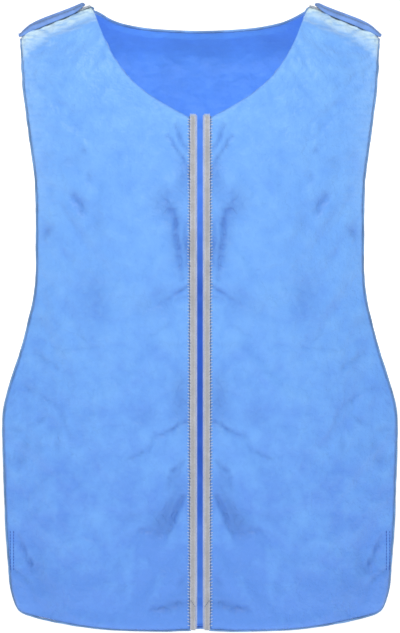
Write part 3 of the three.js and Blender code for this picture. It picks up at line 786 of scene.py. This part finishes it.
# The painted highlight blended over the cloth's colour.
highlight_share = wire.node("ShaderNodeMapRange", {}, {
    "Value": faded + (puckers - 0.5) * 0.9 * faded, "From Min": 0.02, "From Max": 1.1})
colour = blend(wire, highlight_share, colour, highlight_colour)
height = crumples - hairlines * 0.06 - scrunch_lines * 0.16 + puckers * faded * 0.5
show(shader, colour, cloth_bump(wire, height, 0.0042, x, z))
(crumples * 0.2 + 0.34).into(shader.inputs["Roughness"])

lining_cloth, shader, wire = new_material("lining_cloth", Roughness=0.5, Sheen_Weight=0.1)
coordinates, (x, y, z) = place_of(wire)
clouds = noise_of(wire, coordinates, scale=11.0, detail=3.0)
crumples = noise_of(wire, coordinates, scale=55.0, detail=3.0)
colour = colour_from(wire, clouds * 0.75 + crumples * 0.25,
                     (0.36, times(LINING_BLUE, 0.84)), (0.6, LINING_BLUE))
show(shader, colour, cloth_bump(wire, crumples, 0.0022, x, z))

opening_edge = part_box("front_tape_left")[1].x
opening_reach = opening_edge + OPENING_WIDTH
sheets = {}


def on_seam(point):
    return abs(point.y) < SEAM_WIDTH


def places_on(sheet, numbers):
    """Copies of the places of a sheet's numbered points."""
    return [sheet.data.vertices[number].co.copy() for number in numbers]


for side, sign in (("left", 1.0), ("right", -1.0)):
    sheet = bare_copy(f"front_panel_{side}", f"front_cloth_{side}")
    keep_outer_layer(sheet, Vector((sign * 0.1, -0.09, -0.4)), FORWARD)
    opening = border_points(sheet, lambda point: abs(point.x) < opening_reach)
    keep_corner(sheet, max(opening, key=lambda number: sheet.data.vertices[number].co.z))
    subdivide(sheet, 2)
    round_hem_corners(sheet)
    raise_hem(sheet)
    settle(sheet)
    subdivide(sheet, 1)
    seam_distance = distance_field(places_on(sheet, border_points(sheet, on_seam)))
    edge_distance = distance_field(places_on(sheet, border_points(sheet)))
    crinkle(sheet, CREASES, HOLLOWS, seam_distance, edge_distance)
    sheets[f"front_binding_{side}"] = sheet.data.copy()
    sheet.data.materials.append(outer_cloth)
    sheet.data.materials.append(lining_cloth)
    pad_out(sheet, edge_distance)
    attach(sheet, "root")
    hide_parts(f"front_panel_{side}")

# Back. One piece of the same padded cloth from the shoulder seams to the hem, a little longer in
# the middle than the front. Its lining shows through the neck and the front opening.
BACK_CREASES = [dict(zip(CREASE_COLUMNS, row)) for row in [
    ("shoulder blade", (120, -120), (70, -150), 6.0, 1.2),
    ("middle", (60, -300), (5, -330), 5.0, 1.3),
    ("waist", (150, -330), (90, -352), 4.0, 1.3),
    ("waist", (178, -360), (140, -395), 3.4, 1.3),
    ("seat", (120, -470), (60, -500), 5.0, 1.2),
    ("strap", (203, -588), (186, -622), 3.0, 2.0),
    ("strap", (210, -621), (193, -633), 2.6, 2.0),
]]
BACK_HOLLOWS = [dict(zip(HOLLOW_COLUMNS, row)) for row in [
    ("shoulder blade", (90, -140), (22, 40), 20, 1.4, 0.20),
    ("small of back", (0, -350), (34, 50), 0, 1.8, 0.25),
    ("side waist", (150, -380), (20, 26), 30, 1.2, 0.25),
    ("seat", (90, -560), (26, 40), -20, 1.4, 0.20),
]]

BACK_NECK_LEVEL = -0.1
SEAM_GAP = 2.0 * MM
BACK_SEAM_SHARE = 0.25
neck_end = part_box("neck_binding")[1].x


def on_back_neckline(point):
    return abs(point.x) < neck_end and point.z > BACK_NECK_LEVEL


back_sheet = bare_copy("back_panel", "back_cloth")
keep_outer_layer(back_sheet, Vector((0.0, 0.09, -0.4)), BACKWARD)
fill_notches(back_sheet)
subdivide(back_sheet, 2)
round_hem_corners(back_sheet)
round_corner(back_sheet,
             lambda point: on_back_neckline(point) and point.y > SEAM_GAP,
             lambda point: abs(point.x) + point.y)
neckline = places_on(back_sheet, border_points(back_sheet, on_back_neckline))
neck_distance = distance_field(neckline)
settle(back_sheet, neck_distance)
subdivide(back_sheet, 1)
seam_distance = distance_field(places_on(back_sheet, border_points(back_sheet, on_seam)))
edge_distance = distance_field(places_on(back_sheet, border_points(back_sheet)))
crinkle(back_sheet, BACK_CREASES, BACK_HOLLOWS, seam_distance, edge_distance,
        seam_share=BACK_SEAM_SHARE, neck_distance=neck_distance)
sheets["back_binding"] = back_sheet.data.copy()
sheets["neck_binding"] = back_sheet.data.copy()
back_sheet.data.materials.append(outer_cloth)
back_sheet.data.materials.append(lining_cloth)
pad_out(back_sheet, edge_distance)
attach(back_sheet, "root")
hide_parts("back_panel")

# Bindings. A narrow bias strip of nylon is folded over the raw edges at the armholes, sides
# and hem and round the back of the neck, and stitched down. Its darker blue is partly its own
# colour and partly painted shade, for the edge that turns away from the light. It ends at the
# shoulder seams.
BINDING_RADIUS = 1.35 * MM
BINDING_REACH = 1.6 * MM
BINDING_RIB = 1.6 * MM
BINDING_PASSES = 3
# Partly the binding's own colour, partly painted shade where the edge turns away.
BINDING_BLUE = (0.14, 0.29, 0.54)
FRONT_NECK_LEVEL = -0.4
OPENING_MARGIN = 0.9 * MM
NECK_MARGIN = 1.0 * MM


def wave(run, pitch):
    """A share that rises and falls once in each pitch along a run."""
    return (run * (2.0 * math.pi / pitch)).sine() * 0.5 + 0.5


binding_cloth, shader, wire = new_material("binding_cloth", Roughness=0.5, Sheen_Weight=0.1)
coordinates, (x, y, z) = place_of(wire)
ribs = wave(x + z, BINDING_RIB)
wear = noise_of(wire, coordinates, scale=45.0, detail=2.0)
colour = colour_from(wire, wear * 0.8 + ribs * 0.2,
                     (0.35, times(BINDING_BLUE, 0.75)), (0.7, times(BINDING_BLUE, 1.5)))
show(shader, colour, bump_of(wire, ribs, strength=0.3, distance=0.0003))


def bind_edge(name, mesh, on_edge):
    """A rounded strip along those border edges of a sheet that are picked by their middle."""
    strip = bpy.data.objects.new(name, mesh)
    scene.collection.objects.link(strip)
    choose(strip)
    bpy.ops.object.mode_set(mode="EDIT")
    bpy.ops.mesh.select_all(action="SELECT")
    bpy.ops.transform.shrink_fatten(value=-EDGE_WALL / 2)
    bpy.ops.mesh.select_mode(type="EDGE")
    edit = bmesh.from_edit_mesh(mesh)
    bound = {edge for edge in edit.edges
             if edge.is_boundary and on_edge((edge.verts[0].co + edge.verts[1].co) / 2)}
    moves = {}
    for vertex in edit.verts:
        if vertex.is_boundary:
            ends = [edge.other_vert(vertex).co for edge in vertex.link_edges if edge.is_boundary]
            along = (ends[0] - ends[1]).normalized()
            centres = [face.calc_center_median() for face in vertex.link_faces]
            outward = vertex.co - sum(centres, Vector()) / len(centres)
            outward -= along * outward.dot(along)
            moves[vertex] = outward.normalized() * BINDING_REACH
    for vertex, move in moves.items():
        vertex.co += move
    for edge in edit.edges:
        edge.select_set(edge not in bound)
    bmesh.update_edit_mesh(mesh)
    bpy.ops.mesh.delete(type="EDGE")
    bpy.ops.object.mode_set(mode="OBJECT")
    bpy.ops.object.convert(target="CURVE")
    bpy.ops.object.mode_set(mode="EDIT")
    bpy.ops.curve.select_all(action="SELECT")
    for _ in range(BINDING_PASSES):
        bpy.ops.curve.smooth()
    bpy.ops.object.mode_set(mode="OBJECT")
    strip.data.bevel_depth = BINDING_RADIUS
    strip.data.bevel_resolution = 2
    strip.data.use_fill_caps = True
    bpy.ops.object.convert(target="MESH")
    bpy.ops.object.mode_set(mode="EDIT")
    bpy.ops.mesh.select_all(action="SELECT")
    bpy.ops.mesh.remove_doubles(threshold=DOUBLES)
    bpy.ops.mesh.normals_make_consistent(inside=False)
    bpy.ops.object.mode_set(mode="OBJECT")
    bpy.ops.object.shade_smooth()
    strip.data.materials.clear()
    strip.data.materials.append(binding_cloth)
    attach(strip, "root")
    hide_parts(name.replace("_edging", "_binding"))


def round_front(middle):
    """On the front half's armhole, side or hem, and not its seam, neckline or opening."""
    if abs(middle.y) <= SEAM_GAP or abs(middle.x) <= opening_edge + OPENING_MARGIN:
        return False
    return abs(middle.x) >= neck_end or middle.z <= FRONT_NECK_LEVEL


def round_neck(middle):
    if abs(middle.y) <= SEAM_GAP:
        return False
    return abs(middle.x) < neck_end + NECK_MARGIN and middle.z > BACK_NECK_LEVEL


def round_back(middle):
    return abs(middle.y) > SEAM_GAP and not round_neck(middle)


for side in ("left", "right"):
    bind_edge(f"front_edging_{side}", sheets[f"front_binding_{side}"], round_front)
bind_edge("back_edging", sheets["back_binding"], round_back)
bind_edge("neck_edging", sheets["neck_binding"], round_neck)

# Front tapes. A woven grey tape runs down each side of the opening. It is folded over at the
# neckline, doubled over at the hem, and joined to the cloth by slanted stitches of dark thread.
TAPE_GREY = (0.47, 0.475, 0.50)
TAPE_SHADE = (0.33, 0.335, 0.36)
TAPE_PALE = (0.68, 0.71, 0.76)
# The weave's rib, the middle of the tape, and how far from it the painted highlight towards its
# edges starts and is full.
TAPE_WEAVE_AND_HIGHLIGHT = {"rib": 1.25 * MM, "middle": 7.8 * MM, "flat": 1.2 * MM, "edge_highlight": 2.9 * MM}
TAPE_PATCH = {
    "rise": 30 * MM, "slope": 7 * MM, "proud": 0.5 * MM, "wall": 0.9 * MM, "margin": 0.5 * MM}
# Rows of stitches and loops: how far apart, long and thick they are, how far out from the tape's
# edge, where the first one lies below the tape's top, and how far they lean.
STITCH = {
    "pitch": 3.4 * MM, "length": 3.0 * MM, "thickness": 0.95 * MM, "out": 0.55 * MM,
    "start": 3.0 * MM, "slant": math.radians(24)}
OVERLOCK = {
    "pitch": 3.4 * MM, "length": 2.9 * MM, "thickness": 1.1 * MM, "out": 1.6 * MM,
    "start": 4.7 * MM, "slant": 0.3}
END_STITCH = {
    "at": (0.1, 0.37, 0.63, 0.9), "below": 0.5 * MM, "length": 1.9 * MM, "thickness": 0.8 * MM}
STRAY = {"along": 0.9 * MM, "across": 0.7 * MM, "step": 0.77}
ROW_MARGIN = 6 * MM
HALF_STITCH = 0.7 * MM
FLATNESS = 0.8
PROUD = 0.05 * MM
FRAY = {
    "at": (0.12, 0.36, 0.64, 0.88), "below": 1.2 * MM, "rise": 0.6 * MM, "splay": 0.25,
    "length": 3.4 * MM, "thickness": 1.3 * MM}
THREAD_DARK = (0.12, 0.15, 0.22)
THREAD_PALE = (0.50, 0.60, 0.76)
THREAD_TWIST = 0.9 * MM

UP = Vector((0.0, 0.0, 1.0))
SIDEWAYS = Vector((1.0, 0.0, 0.0))
# A surface is looked for from this far away.
AWAY = 1.0

woven_tape, shader, wire = new_material("woven_tape", Roughness=0.72, Sheen_Weight=0.2)
coordinates, (x, y, z) = place_of(wire)
turns = 2.0 * math.pi / TAPE_WEAVE_AND_HIGHLIGHT["rib"]
ribs = (z * turns + (x * (0.55 * turns)).sine() * 0.8).sine() * 0.5 + 0.5
# Painted highlight: the tape is painted paler towards both its edges.
from_middle = abs(abs(x) - TAPE_WEAVE_AND_HIGHLIGHT["middle"])
edge_highlight = smooth_share(wire, from_middle, TAPE_WEAVE_AND_HIGHLIGHT["flat"], TAPE_WEAVE_AND_HIGHLIGHT["edge_highlight"])
fibre = noise_of(wire, coordinates, scale=620.0, detail=3.0)
soil = noise_of(wire, coordinates, scale=55.0, detail=2.0)
colour = colour_from(wire, fibre * 0.3 + soil * 0.3 + ribs * 0.25 + edge_highlight * 0.24,
                     (0.3, TAPE_SHADE), (0.52, TAPE_GREY), (0.75, TAPE_PALE))
show(shader, colour, bump_of(wire, ribs + fibre * 0.6, strength=0.6, distance=0.0004))


def plied_thread(name, run, darkest, lightest, **shader_values):
    """A material for plied thread. Its twist shows in its colour and its bump, along a run."""
    thread, shader, wire = new_material(name, **shader_values)
    twist = wave(run(*place_of(wire)[1]), THREAD_TWIST)
    colour = colour_from(wire, twist, (0.2, darkest), (0.9, lightest))
    show(shader, colour, bump_of(wire, twist, strength=0.4, distance=0.0002))
    return thread


thread_dark = plied_thread("dark_thread", lambda x, y, z: z * 3.0 + x,
                           THREAD_DARK, times(THREAD_DARK, 1.6), Roughness=0.55)
thread_pale = plied_thread("pale_thread", lambda x, y, z: x * 3.0 + z,
                           times(THREAD_PALE, 0.8), times(THREAD_PALE, 1.2),
                           Roughness=0.6, Sheen_Weight=0.1)


def surface_of(*pieces):
    """A function that finds the first surface met from a place in a direction, among the pieces."""
    bpy.context.view_layer.update()
    depsgraph = bpy.context.evaluated_depsgraph_get()
    trees = [BVHTree.FromObject(piece, depsgraph) for piece in pieces]

    def find(place, direction):
        hits = [tree.ray_cast(place, direction) for tree in trees]
        hits = [hit for hit in hits if hit[0] is not None]
        if not hits:
            return None, None
        hit = min(hits, key=lambda hit: hit[3])
        return hit[0], hit[1]
    return find


def sew(name, places, length, thickness, material, slant=0.0):
    """A row of stitches. Places are (point, normal, direction); one stitch is copied to each."""
    deselect()
    bpy.ops.mesh.primitive_uv_sphere_add(segments=8, ring_count=6, radius=0.5)
    stitch = bpy.context.object
    bpy.ops.transform.resize(value=(thickness, FLATNESS * thickness, length))
    bpy.ops.object.transform_apply(location=True, rotation=True, scale=True)
    copies = []
    for point, normal, direction in places:
        across = direction.cross(normal).normalized()
        lean = (direction * math.cos(slant) + across * math.sin(slant)).normalized()
        side = lean.cross(normal).normalized()
        copy = bpy.data.objects.new(name, stitch.data.copy())
        turned = Matrix((side, normal, lean)).transposed().to_4x4()
        copy.matrix_world = Matrix.Translation(point) @ turned
        scene.collection.objects.link(copy)
        copies.append(copy)
    bpy.data.objects.remove(stitch, do_unlink=True)
    choose(copies[0])
    for copy in copies:
        copy.select_set(True)
    bpy.ops.object.join()
    bpy.ops.object.transform_apply(location=True, rotation=True, scale=True)
    bpy.ops.object.mode_set(mode="EDIT")
    bpy.ops.mesh.select_all(action="SELECT")
    bpy.ops.mesh.normals_make_consistent(inside=False)
    bpy.ops.object.mode_set(mode="OBJECT")
    bpy.ops.object.shade_smooth()
    row = bpy.context.object
    row.name = name
    row.data.materials.append(material)
    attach(row, "root")


def bevel(piece, width, sharpest):
    """Rounds those corners of a piece that turn by more than so many degrees."""
    finish_modifier(piece, "BEVEL", width=width, segments=2, limit_method="ANGLE",
                    angle_limit=math.radians(sharpest))


for side, sign in (("left", 1.0), ("right", -1.0)):
    tape = bare_copy(f"front_tape_{side}", f"woven_tape_{side}")
    bevel(tape, 0.45 * MM, 50)
    finish_modifier(tape, "SUBSURF", levels=1, render_levels=1, subdivision_type="SIMPLE")
    bpy.ops.object.shade_smooth_by_angle(angle=math.radians(40))
    tape.data.materials.append(woven_tape)
    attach(tape, "root")
    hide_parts(f"front_tape_{side}")

    # The doubled end at the hem: a patch with a slanted top, laid on the tape.
    low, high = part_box(f"front_tape_{side}")
    tape_face = surface_of(tape)
    margin = TAPE_PATCH["margin"]
    inner, outer = low.x + margin, high.x - margin
    if sign < 0:
        inner, outer = outer, inner
    bpy.ops.mesh.primitive_plane_add(size=1.0)
    patch = bpy.context.object
    patch.name = f"tape_end_{side}"
    bpy.ops.object.mode_set(mode="EDIT")
    bpy.ops.mesh.subdivide(number_cuts=7)
    edit = bmesh.from_edit_mesh(patch.data)
    for vertex in edit.verts:
        across = vertex.co.x + 0.5
        up = vertex.co.y + 0.5
        top = TAPE_PATCH["rise"] + TAPE_PATCH["slope"] * (across - 0.5)
        x = inner + (outer - inner) * across
        z = low.z + margin + (top - margin) * up
        point, _ = tape_face(Vector((x, -AWAY, z)), BACKWARD)
        vertex.co = Vector((x, point.y - TAPE_PATCH["proud"], z))
    bmesh.update_edit_mesh(patch.data)
    bpy.ops.mesh.select_all(action="SELECT")
    bpy.ops.mesh.normals_make_consistent(inside=False)
    edit = bmesh.from_edit_mesh(patch.data)
    if sum(face.normal.y for face in edit.faces) > 0:
        bpy.ops.mesh.flip_normals()
    bpy.ops.object.mode_set(mode="OBJECT")
    finish_modifier(patch, "SOLIDIFY", thickness=TAPE_PATCH["wall"], offset=-1.0)
    bevel(patch, 0.25 * MM, 50)
    bpy.ops.object.shade_smooth_by_angle(angle=math.radians(40))
    patch.data.materials.append(woven_tape)
    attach(patch, "root")

    # Slanted stitches over the join between the tape and the cloth, with pale loops of thread that
    # run out from them over the cloth's edge.
    cloth = bpy.data.objects[f"front_cloth_{side}"]
    front_face = surface_of(cloth, tape)
    outer_edge = max(abs(low.x), abs(high.x))
    rows = (
        ("tape_stitches", STITCH, UP, thread_dark, sign * STITCH["slant"]),
        ("tape_loops", OVERLOCK, SIDEWAYS, thread_pale, -sign * OVERLOCK["slant"]),
    )
    for kind, row, run, thread, slant in rows:
        places = []
        for step in range(int((high.z - low.z - ROW_MARGIN) / row["pitch"])):
            stray = noise.noise_vector((0.0, row["out"] / MM, STRAY["step"] * step))
            z = high.z - row["start"] - step * row["pitch"] + STRAY["along"] * stray.z
            x = sign * (outer_edge + row["out"] + STRAY["across"] * stray.x)
            inner_hit, _ = front_face(Vector((x - sign * HALF_STITCH, -AWAY, z)), BACKWARD)
            outer_hit, _ = front_face(Vector((x + sign * HALF_STITCH, -AWAY, z)), BACKWARD)
            y = min(hit.y for hit in (inner_hit, outer_hit) if hit)
            places.append((Vector((x, y - PROUD, z)), FORWARD, run))
        sew(f"{kind}_{side}", places, row["length"], row["thickness"], thread,
            slant=slant)

    # The frayed threads that stand up at the tape's top. Their pale thread is partly a painted
    # highlight, for the light that the tape's top catches.
    places = []
    for share in FRAY["at"]:
        x = low.x + (high.x - low.x) * share
        z = high.z - FRAY["below"]
        point, _ = tape_face(Vector((x, -AWAY, z)), BACKWARD)
        lean = Vector((FRAY["splay"] * (share - 0.5), 0.0, 1.0)).normalized()
        places.append((Vector((x, point.y, z + FRAY["rise"])), FORWARD, lean))
    sew(f"tape_fray_{side}", places, FRAY["length"], FRAY["thickness"], thread_pale)

    # A few stitches across the slanted top of the doubled end.
    patch_face = surface_of(patch)
    places = []
    slope = Vector((outer - inner, 0.0, TAPE_PATCH["slope"])).normalized()
    for share in END_STITCH["at"]:
        x = inner + (outer - inner) * share
        top = TAPE_PATCH["rise"] + TAPE_PATCH["slope"] * (share - 0.5)
        z = low.z + top - END_STITCH["below"]
        point, _ = patch_face(Vector((x, -AWAY, z)), BACKWARD)
        if point:
            places.append((point, FORWARD, slope))
    sew(f"tape_end_stitches_{side}", places, END_STITCH["length"], END_STITCH["thickness"],
        thread_dark)

# Lips. The tape's inner edge is turned over a thin cord and stitched down, so that it shows along
# the opening as a pale rounded lip.
LIP_PALE = (0.52, 0.58, 0.70)
LIP_WRAP = 1.5 * MM

pale_lip, shader, wire = new_material("pale_lip", Roughness=0.5, Sheen_Weight=0.15)
coordinates, (x, y, z) = place_of(wire)
wraps = wave(z + x * 0.6, LIP_WRAP)
soil = noise_of(wire, coordinates, scale=70.0, detail=2.0)
colour = colour_from(wire, wraps * 0.4 + soil * 0.6,
                     (0.25, times(LIP_PALE, 0.7)), (0.75, times(LIP_PALE, 1.25)))
show(shader, colour, bump_of(wire, wraps, strength=0.5, distance=0.0003))

for side in ("left", "right"):
    lip = bare_copy(f"tape_lip_{side}", f"corded_lip_{side}")
    subdivide(lip, 2)
    bpy.ops.object.shade_smooth()
    lip.data.materials.append(pale_lip)
    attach(lip, "root")
    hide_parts(f"tape_lip_{side}")

# Grip strips. A pair of hook and loop strips holds the tab down on each shoulder seam. Only its
# grey end shows, at the neck.
GRIP_WIDTH = 0.7
GRIP_PALE = (0.62, 0.66, 0.72)
GRIP_GREY = (0.28, 0.32, 0.38)

grip_cloth, shader, wire = new_material("grip_cloth", Roughness=0.85, Sheen_Weight=0.3)
coordinates, _ = place_of(wire)
hooks = wire.node("ShaderNodeTexVoronoi", {}, {"Vector": coordinates, "Scale": 900.0}, "Distance")
colour = colour_from(wire, hooks, (0.1, GRIP_PALE), (0.7, GRIP_GREY))
show(shader, colour, bump_of(wire, hooks, strength=0.8, distance=0.0006, invert=True))

for side in ("left", "right"):
    strip = bare_copy(f"tab_hook_{side}", f"grip_strip_{side}")
    for vertex in strip.data.vertices:
        vertex.co.y *= GRIP_WIDTH
    bow_shoulder(strip)
    bevel(strip, 0.4 * MM, 50)
    bpy.ops.object.shade_smooth_by_angle(angle=math.radians(45))
    strip.data.materials.append(grip_cloth)
    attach(strip, "root")
    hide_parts(f"tab_hook_{side}")

# Shoulder tabs. A padded tab of a deeper blue cloth lies over each shoulder seam and its grip
# strip. Its ends are round, and a row of stitches runs all round it near the edge.
TAB_BLUE = (0.155, 0.31, 0.72)
# The colour of the painted shade in the tab's groove and under it.
TAB_SHADE_BLUE = (0.085, 0.165, 0.36)
TAB_SLIM = {"width": 0.70, "wall": 0.75}
TAB_END = {"reach": 14 * MM, "least": 0.72, "curl": 0.8 * MM}
TAB_RIM = {
    "inner": 4.2 * MM, "outer": 8.6 * MM, "columns": 24, "ends": 0.04, "passes": 3,
    "most": 2.0 * MM}
# Faces of the tab that look up by more than this carry its groove, puckers and stitches.
TAB_TOP = 0.2
TAB_GROOVE = {"inset": 2.6 * MM, "width": 1.0 * MM, "depth": 0.5 * MM}
TAB_PUCKER = {
    "pitch": 6.5 * MM, "height": 0.15 * MM, "reach": 4.0 * MM, "stray": 3.0,
    "stray_spacing": 15 * MM}
# Painted shade on the tab: how dark its groove and its underside are painted.
TAB_PAINTED_SHADE = {"groove": 0.7, "under": 0.9, "from": 0.25, "to": 0.75}
TAB_STITCH = {
    "pitch": 3.4 * MM, "length": 2.5 * MM, "thickness": 0.6 * MM, "proud": 0.1 * MM}
TAB_CORNER = 6.0 * MM
CORNER_STEPS = 8
DOWN = Vector((0.0, 0.0, -1.0))

padded_tab, shader, wire = new_material("padded_tab", Roughness=0.5, Sheen_Weight=0.15)
coordinates, (x, y, z) = place_of(wire)
mottle = noise_of(wire, coordinates, scale=60.0, detail=2.0)
colour = colour_from(wire, mottle,
                     (0.35, times(TAB_BLUE, 0.85)), (0.65, times(TAB_BLUE, 1.15)))
# Painted shade in the tab's groove and under it.
colour = blend(wire, attribute_of(wire, "lined"), colour, (*TAB_SHADE_BLUE, 1.0))
show(shader, colour, cloth_bump(wire, mottle, 0.0016, x, y))


def drape_rims(tab, cloths):
    """Lets the tab's two long edges down until they rest on the cloth."""
    beneath = surface_of(*cloths)
    underside = surface_of(tab)
    low_x = min(vertex.co.x for vertex in tab.data.vertices)
    length = max(vertex.co.x for vertex in tab.data.vertices) - low_x
    columns = TAB_RIM["columns"]
    span = 1.0 - 2.0 * TAB_RIM["ends"]
    for face in (-1.0, 1.0):
        gaps = []
        for number in range(columns + 1):
            x = low_x + length * (TAB_RIM["ends"] + span * number / columns)
            above, _ = underside(Vector((x, face * TAB_RIM["outer"], -AWAY)), UP)
            under, _ = beneath(Vector((x, face * TAB_RIM["outer"], AWAY)), DOWN)
            gap = above.z - under.z if above and under else 0.0
            gaps.append(min(TAB_RIM["most"], max(0.0, gap)))
        for _ in range(TAB_RIM["passes"]):
            gaps = [(gaps[max(0, n - 1)] + 2 * gaps[n] + gaps[min(columns, n + 1)]) / 4
                    for n in range(columns + 1)]
        for vertex in tab.data.vertices:
            share = clamp(((vertex.co.x - low_x) / length - TAB_RIM["ends"]) / span)
            first = min(columns - 1, int(share * columns))
            gap = gaps[first] + (gaps[first + 1] - gaps[first]) * (share * columns - first)
            vertex.co.z -= gap * ramp(vertex.co.y * face, TAB_RIM["inner"], TAB_RIM["outer"])
    tab.data.update()


for side, sign in (("left", 1.0), ("right", -1.0)):
    tab = bare_copy(f"shoulder_tab_{side}", f"padded_tab_{side}")
    subdivide(tab, 3)
    bow_shoulder(tab)
    low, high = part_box(f"shoulder_tab_{side}")
    middle_x = (low.x + high.x) / 2
    middle_y = (low.y + high.y) / 2
    half_length = (high.x - low.x) / 2
    half_width = TAB_SLIM["width"] * (high.y - low.y) / 2
    end_from = half_length - TAB_END["reach"]
    underside = surface_of(tab)
    for vertex in tab.data.vertices:
        beneath, _ = underside(Vector((vertex.co.x, middle_y, -AWAY)), UP)
        outward = sign * (vertex.co.x - middle_x)
        share = 1.0 - (1.0 - TAB_END["least"]) * ramp(outward, end_from, half_length)
        curl = TAB_END["curl"] * ramp(-outward, end_from, half_length)
        if beneath:
            wall = (vertex.co.z - beneath.z) * share * TAB_SLIM["wall"]
            vertex.co.z = beneath.z + wall + curl
        vertex.co.y = middle_y + (vertex.co.y - middle_y) * TAB_SLIM["width"]
    tab.data.update()
    drape_rims(tab, [bpy.data.objects[f"front_cloth_{side}"], bpy.data.objects["back_cloth"]])
    normals = [vertex.normal.copy() for vertex in tab.data.vertices]
    lined = []
    for vertex, normal in zip(tab.data.vertices, normals):
        if normal.z < TAB_TOP:
            # Painted shade under the tab.
            under = ramp(-normal.z, TAB_PAINTED_SHADE["from"], TAB_PAINTED_SHADE["to"])
            lined.append(TAB_PAINTED_SHADE["under"] * under)
            continue
        along = vertex.co.x - middle_x
        inset = min(half_width - abs(vertex.co.y), half_length - abs(along))
        from_groove = inset - TAB_GROOVE["inset"]
        groove = math.exp(-(from_groove / TAB_GROOVE["width"]) ** 2)
        # Painted shade in the groove.
        lined.append(TAB_PAINTED_SHADE["groove"] * groove)
        stray = TAB_PUCKER["stray"] * noise.noise((along / TAB_PUCKER["stray_spacing"], 0.0, 1.0))
        pucker = math.sin(2.0 * math.pi * along / TAB_PUCKER["pitch"] + stray)
        pucker *= math.exp(-(from_groove / TAB_PUCKER["reach"]) ** 2)
        vertex.co += normal * (TAB_PUCKER["height"] * pucker - TAB_GROOVE["depth"] * groove)
    bpy.ops.object.shade_smooth()
    attribute = tab.data.attributes.new("lined", "FLOAT", "POINT")
    attribute.data.foreach_set("value", lined)
    tab.data.materials.append(padded_tab)
    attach(tab, "root")
    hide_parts(f"shoulder_tab_{side}")

    # Its stitches follow the groove, which is a rectangle with rounded corners seen from above.
    tab_top = surface_of(tab)
    centre_x = half_length - TAB_GROOVE["inset"] - TAB_CORNER
    centre_y = half_width - TAB_GROOVE["inset"] - TAB_CORNER
    outline = []
    for quarter, (turn_x, turn_y) in enumerate(((1, 1), (-1, 1), (-1, -1), (1, -1))):
        for step in range(CORNER_STEPS + 1):
            angle = 0.5 * math.pi * (quarter + step / CORNER_STEPS)
            outline.append(Vector((centre_x * turn_x + TAB_CORNER * math.cos(angle),
                                   centre_y * turn_y + TAB_CORNER * math.sin(angle))))
    outline.append(outline[0])
    places = []
    due = 0.0
    for start, end in zip(outline, outline[1:]):
        run = end - start
        while due < run.length:
            here = start + run * (due / run.length)
            above = Vector((middle_x + here.x, middle_y + here.y, AWAY))
            point, normal = tab_top(above, DOWN)
            if point:
                direction = Vector((run.x, run.y, 0.0)).normalized()
                direction = (direction - normal * direction.dot(normal)).normalized()
                places.append((point + normal * TAB_STITCH["proud"], normal, direction))
            due += TAB_STITCH["pitch"]
        due -= run.length
    sew(f"tab_stitches_{side}", places, TAB_STITCH["length"], TAB_STITCH["thickness"],
        thread_dark)

# Side straps. A wide ribbed elastic low on each side joins the front to the back. Its ends are sewn
# behind the cloth with two rows of stitches, which show on the front and the back.
ELASTIC_BLUE = (0.055, 0.14, 0.50)
ELASTIC_RIB = 3.4 * MM
ELASTIC_KNIT = 1.4 * MM
SIDE_STITCH = {
    "at": (211.0 * MM, 207.2 * MM), "pitch": 3.4 * MM, "length": 3.2 * MM,
    "thickness": 1.0 * MM}
THREAD_BLUE = (0.02, 0.085, 0.38)

ribbed_elastic, shader, wire = new_material("ribbed_elastic", Roughness=0.8, Sheen_Weight=0.25)
coordinates, (x, y, z) = place_of(wire)
ribs = wave(z, ELASTIC_RIB)
knit = wave(y, ELASTIC_KNIT)
fuzz = noise_of(wire, coordinates, scale=500.0, detail=2.0)
colour = colour_from(wire, ribs * 0.6 + fuzz * 0.4,
                     (0.2, times(ELASTIC_BLUE, 0.6)), (0.8, times(ELASTIC_BLUE, 1.3)))
show(shader, colour, bump_of(wire, ribs + knit * 0.3, strength=0.9, distance=0.0012))

thread_blue = plied_thread("blue_thread", lambda x, y, z: z * 3.0 + x + y,
                           THREAD_BLUE, times(THREAD_BLUE, 1.8), Roughness=0.5)

for side, sign in (("left", 1.0), ("right", -1.0)):
    strap = bare_copy(f"side_strap_{side}", f"elastic_strap_{side}")
    bevel(strap, 0.5 * MM, 60)
    finish_modifier(strap, "SUBSURF", levels=2, render_levels=2)
    bpy.ops.object.shade_smooth_by_angle(angle=math.radians(60))
    strap.data.materials.append(ribbed_elastic)
    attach(strap, "root")
    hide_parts(f"side_strap_{side}")

    low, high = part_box(f"side_strap_{side}")
    for face, cloth_name, direction in (("front", f"front_cloth_{side}", BACKWARD),
                                        ("back", "back_cloth", FORWARD)):
        cloth_face = surface_of(bpy.data.objects[cloth_name])
        places = []
        for across in SIDE_STITCH["at"]:
            for step in range(int((high.z - low.z) / SIDE_STITCH["pitch"])):
                z = high.z - (step + 0.5) * SIDE_STITCH["pitch"]
                start = Vector((sign * across, -AWAY * direction.y, z))
                point, normal = cloth_face(start, direction)
                if point:
                    places.append((point + normal * PROUD, normal, UP))
        sew(f"strap_stitches_{face}_{side}", places, SIDE_STITCH["length"],
            SIDE_STITCH["thickness"], thread_blue)
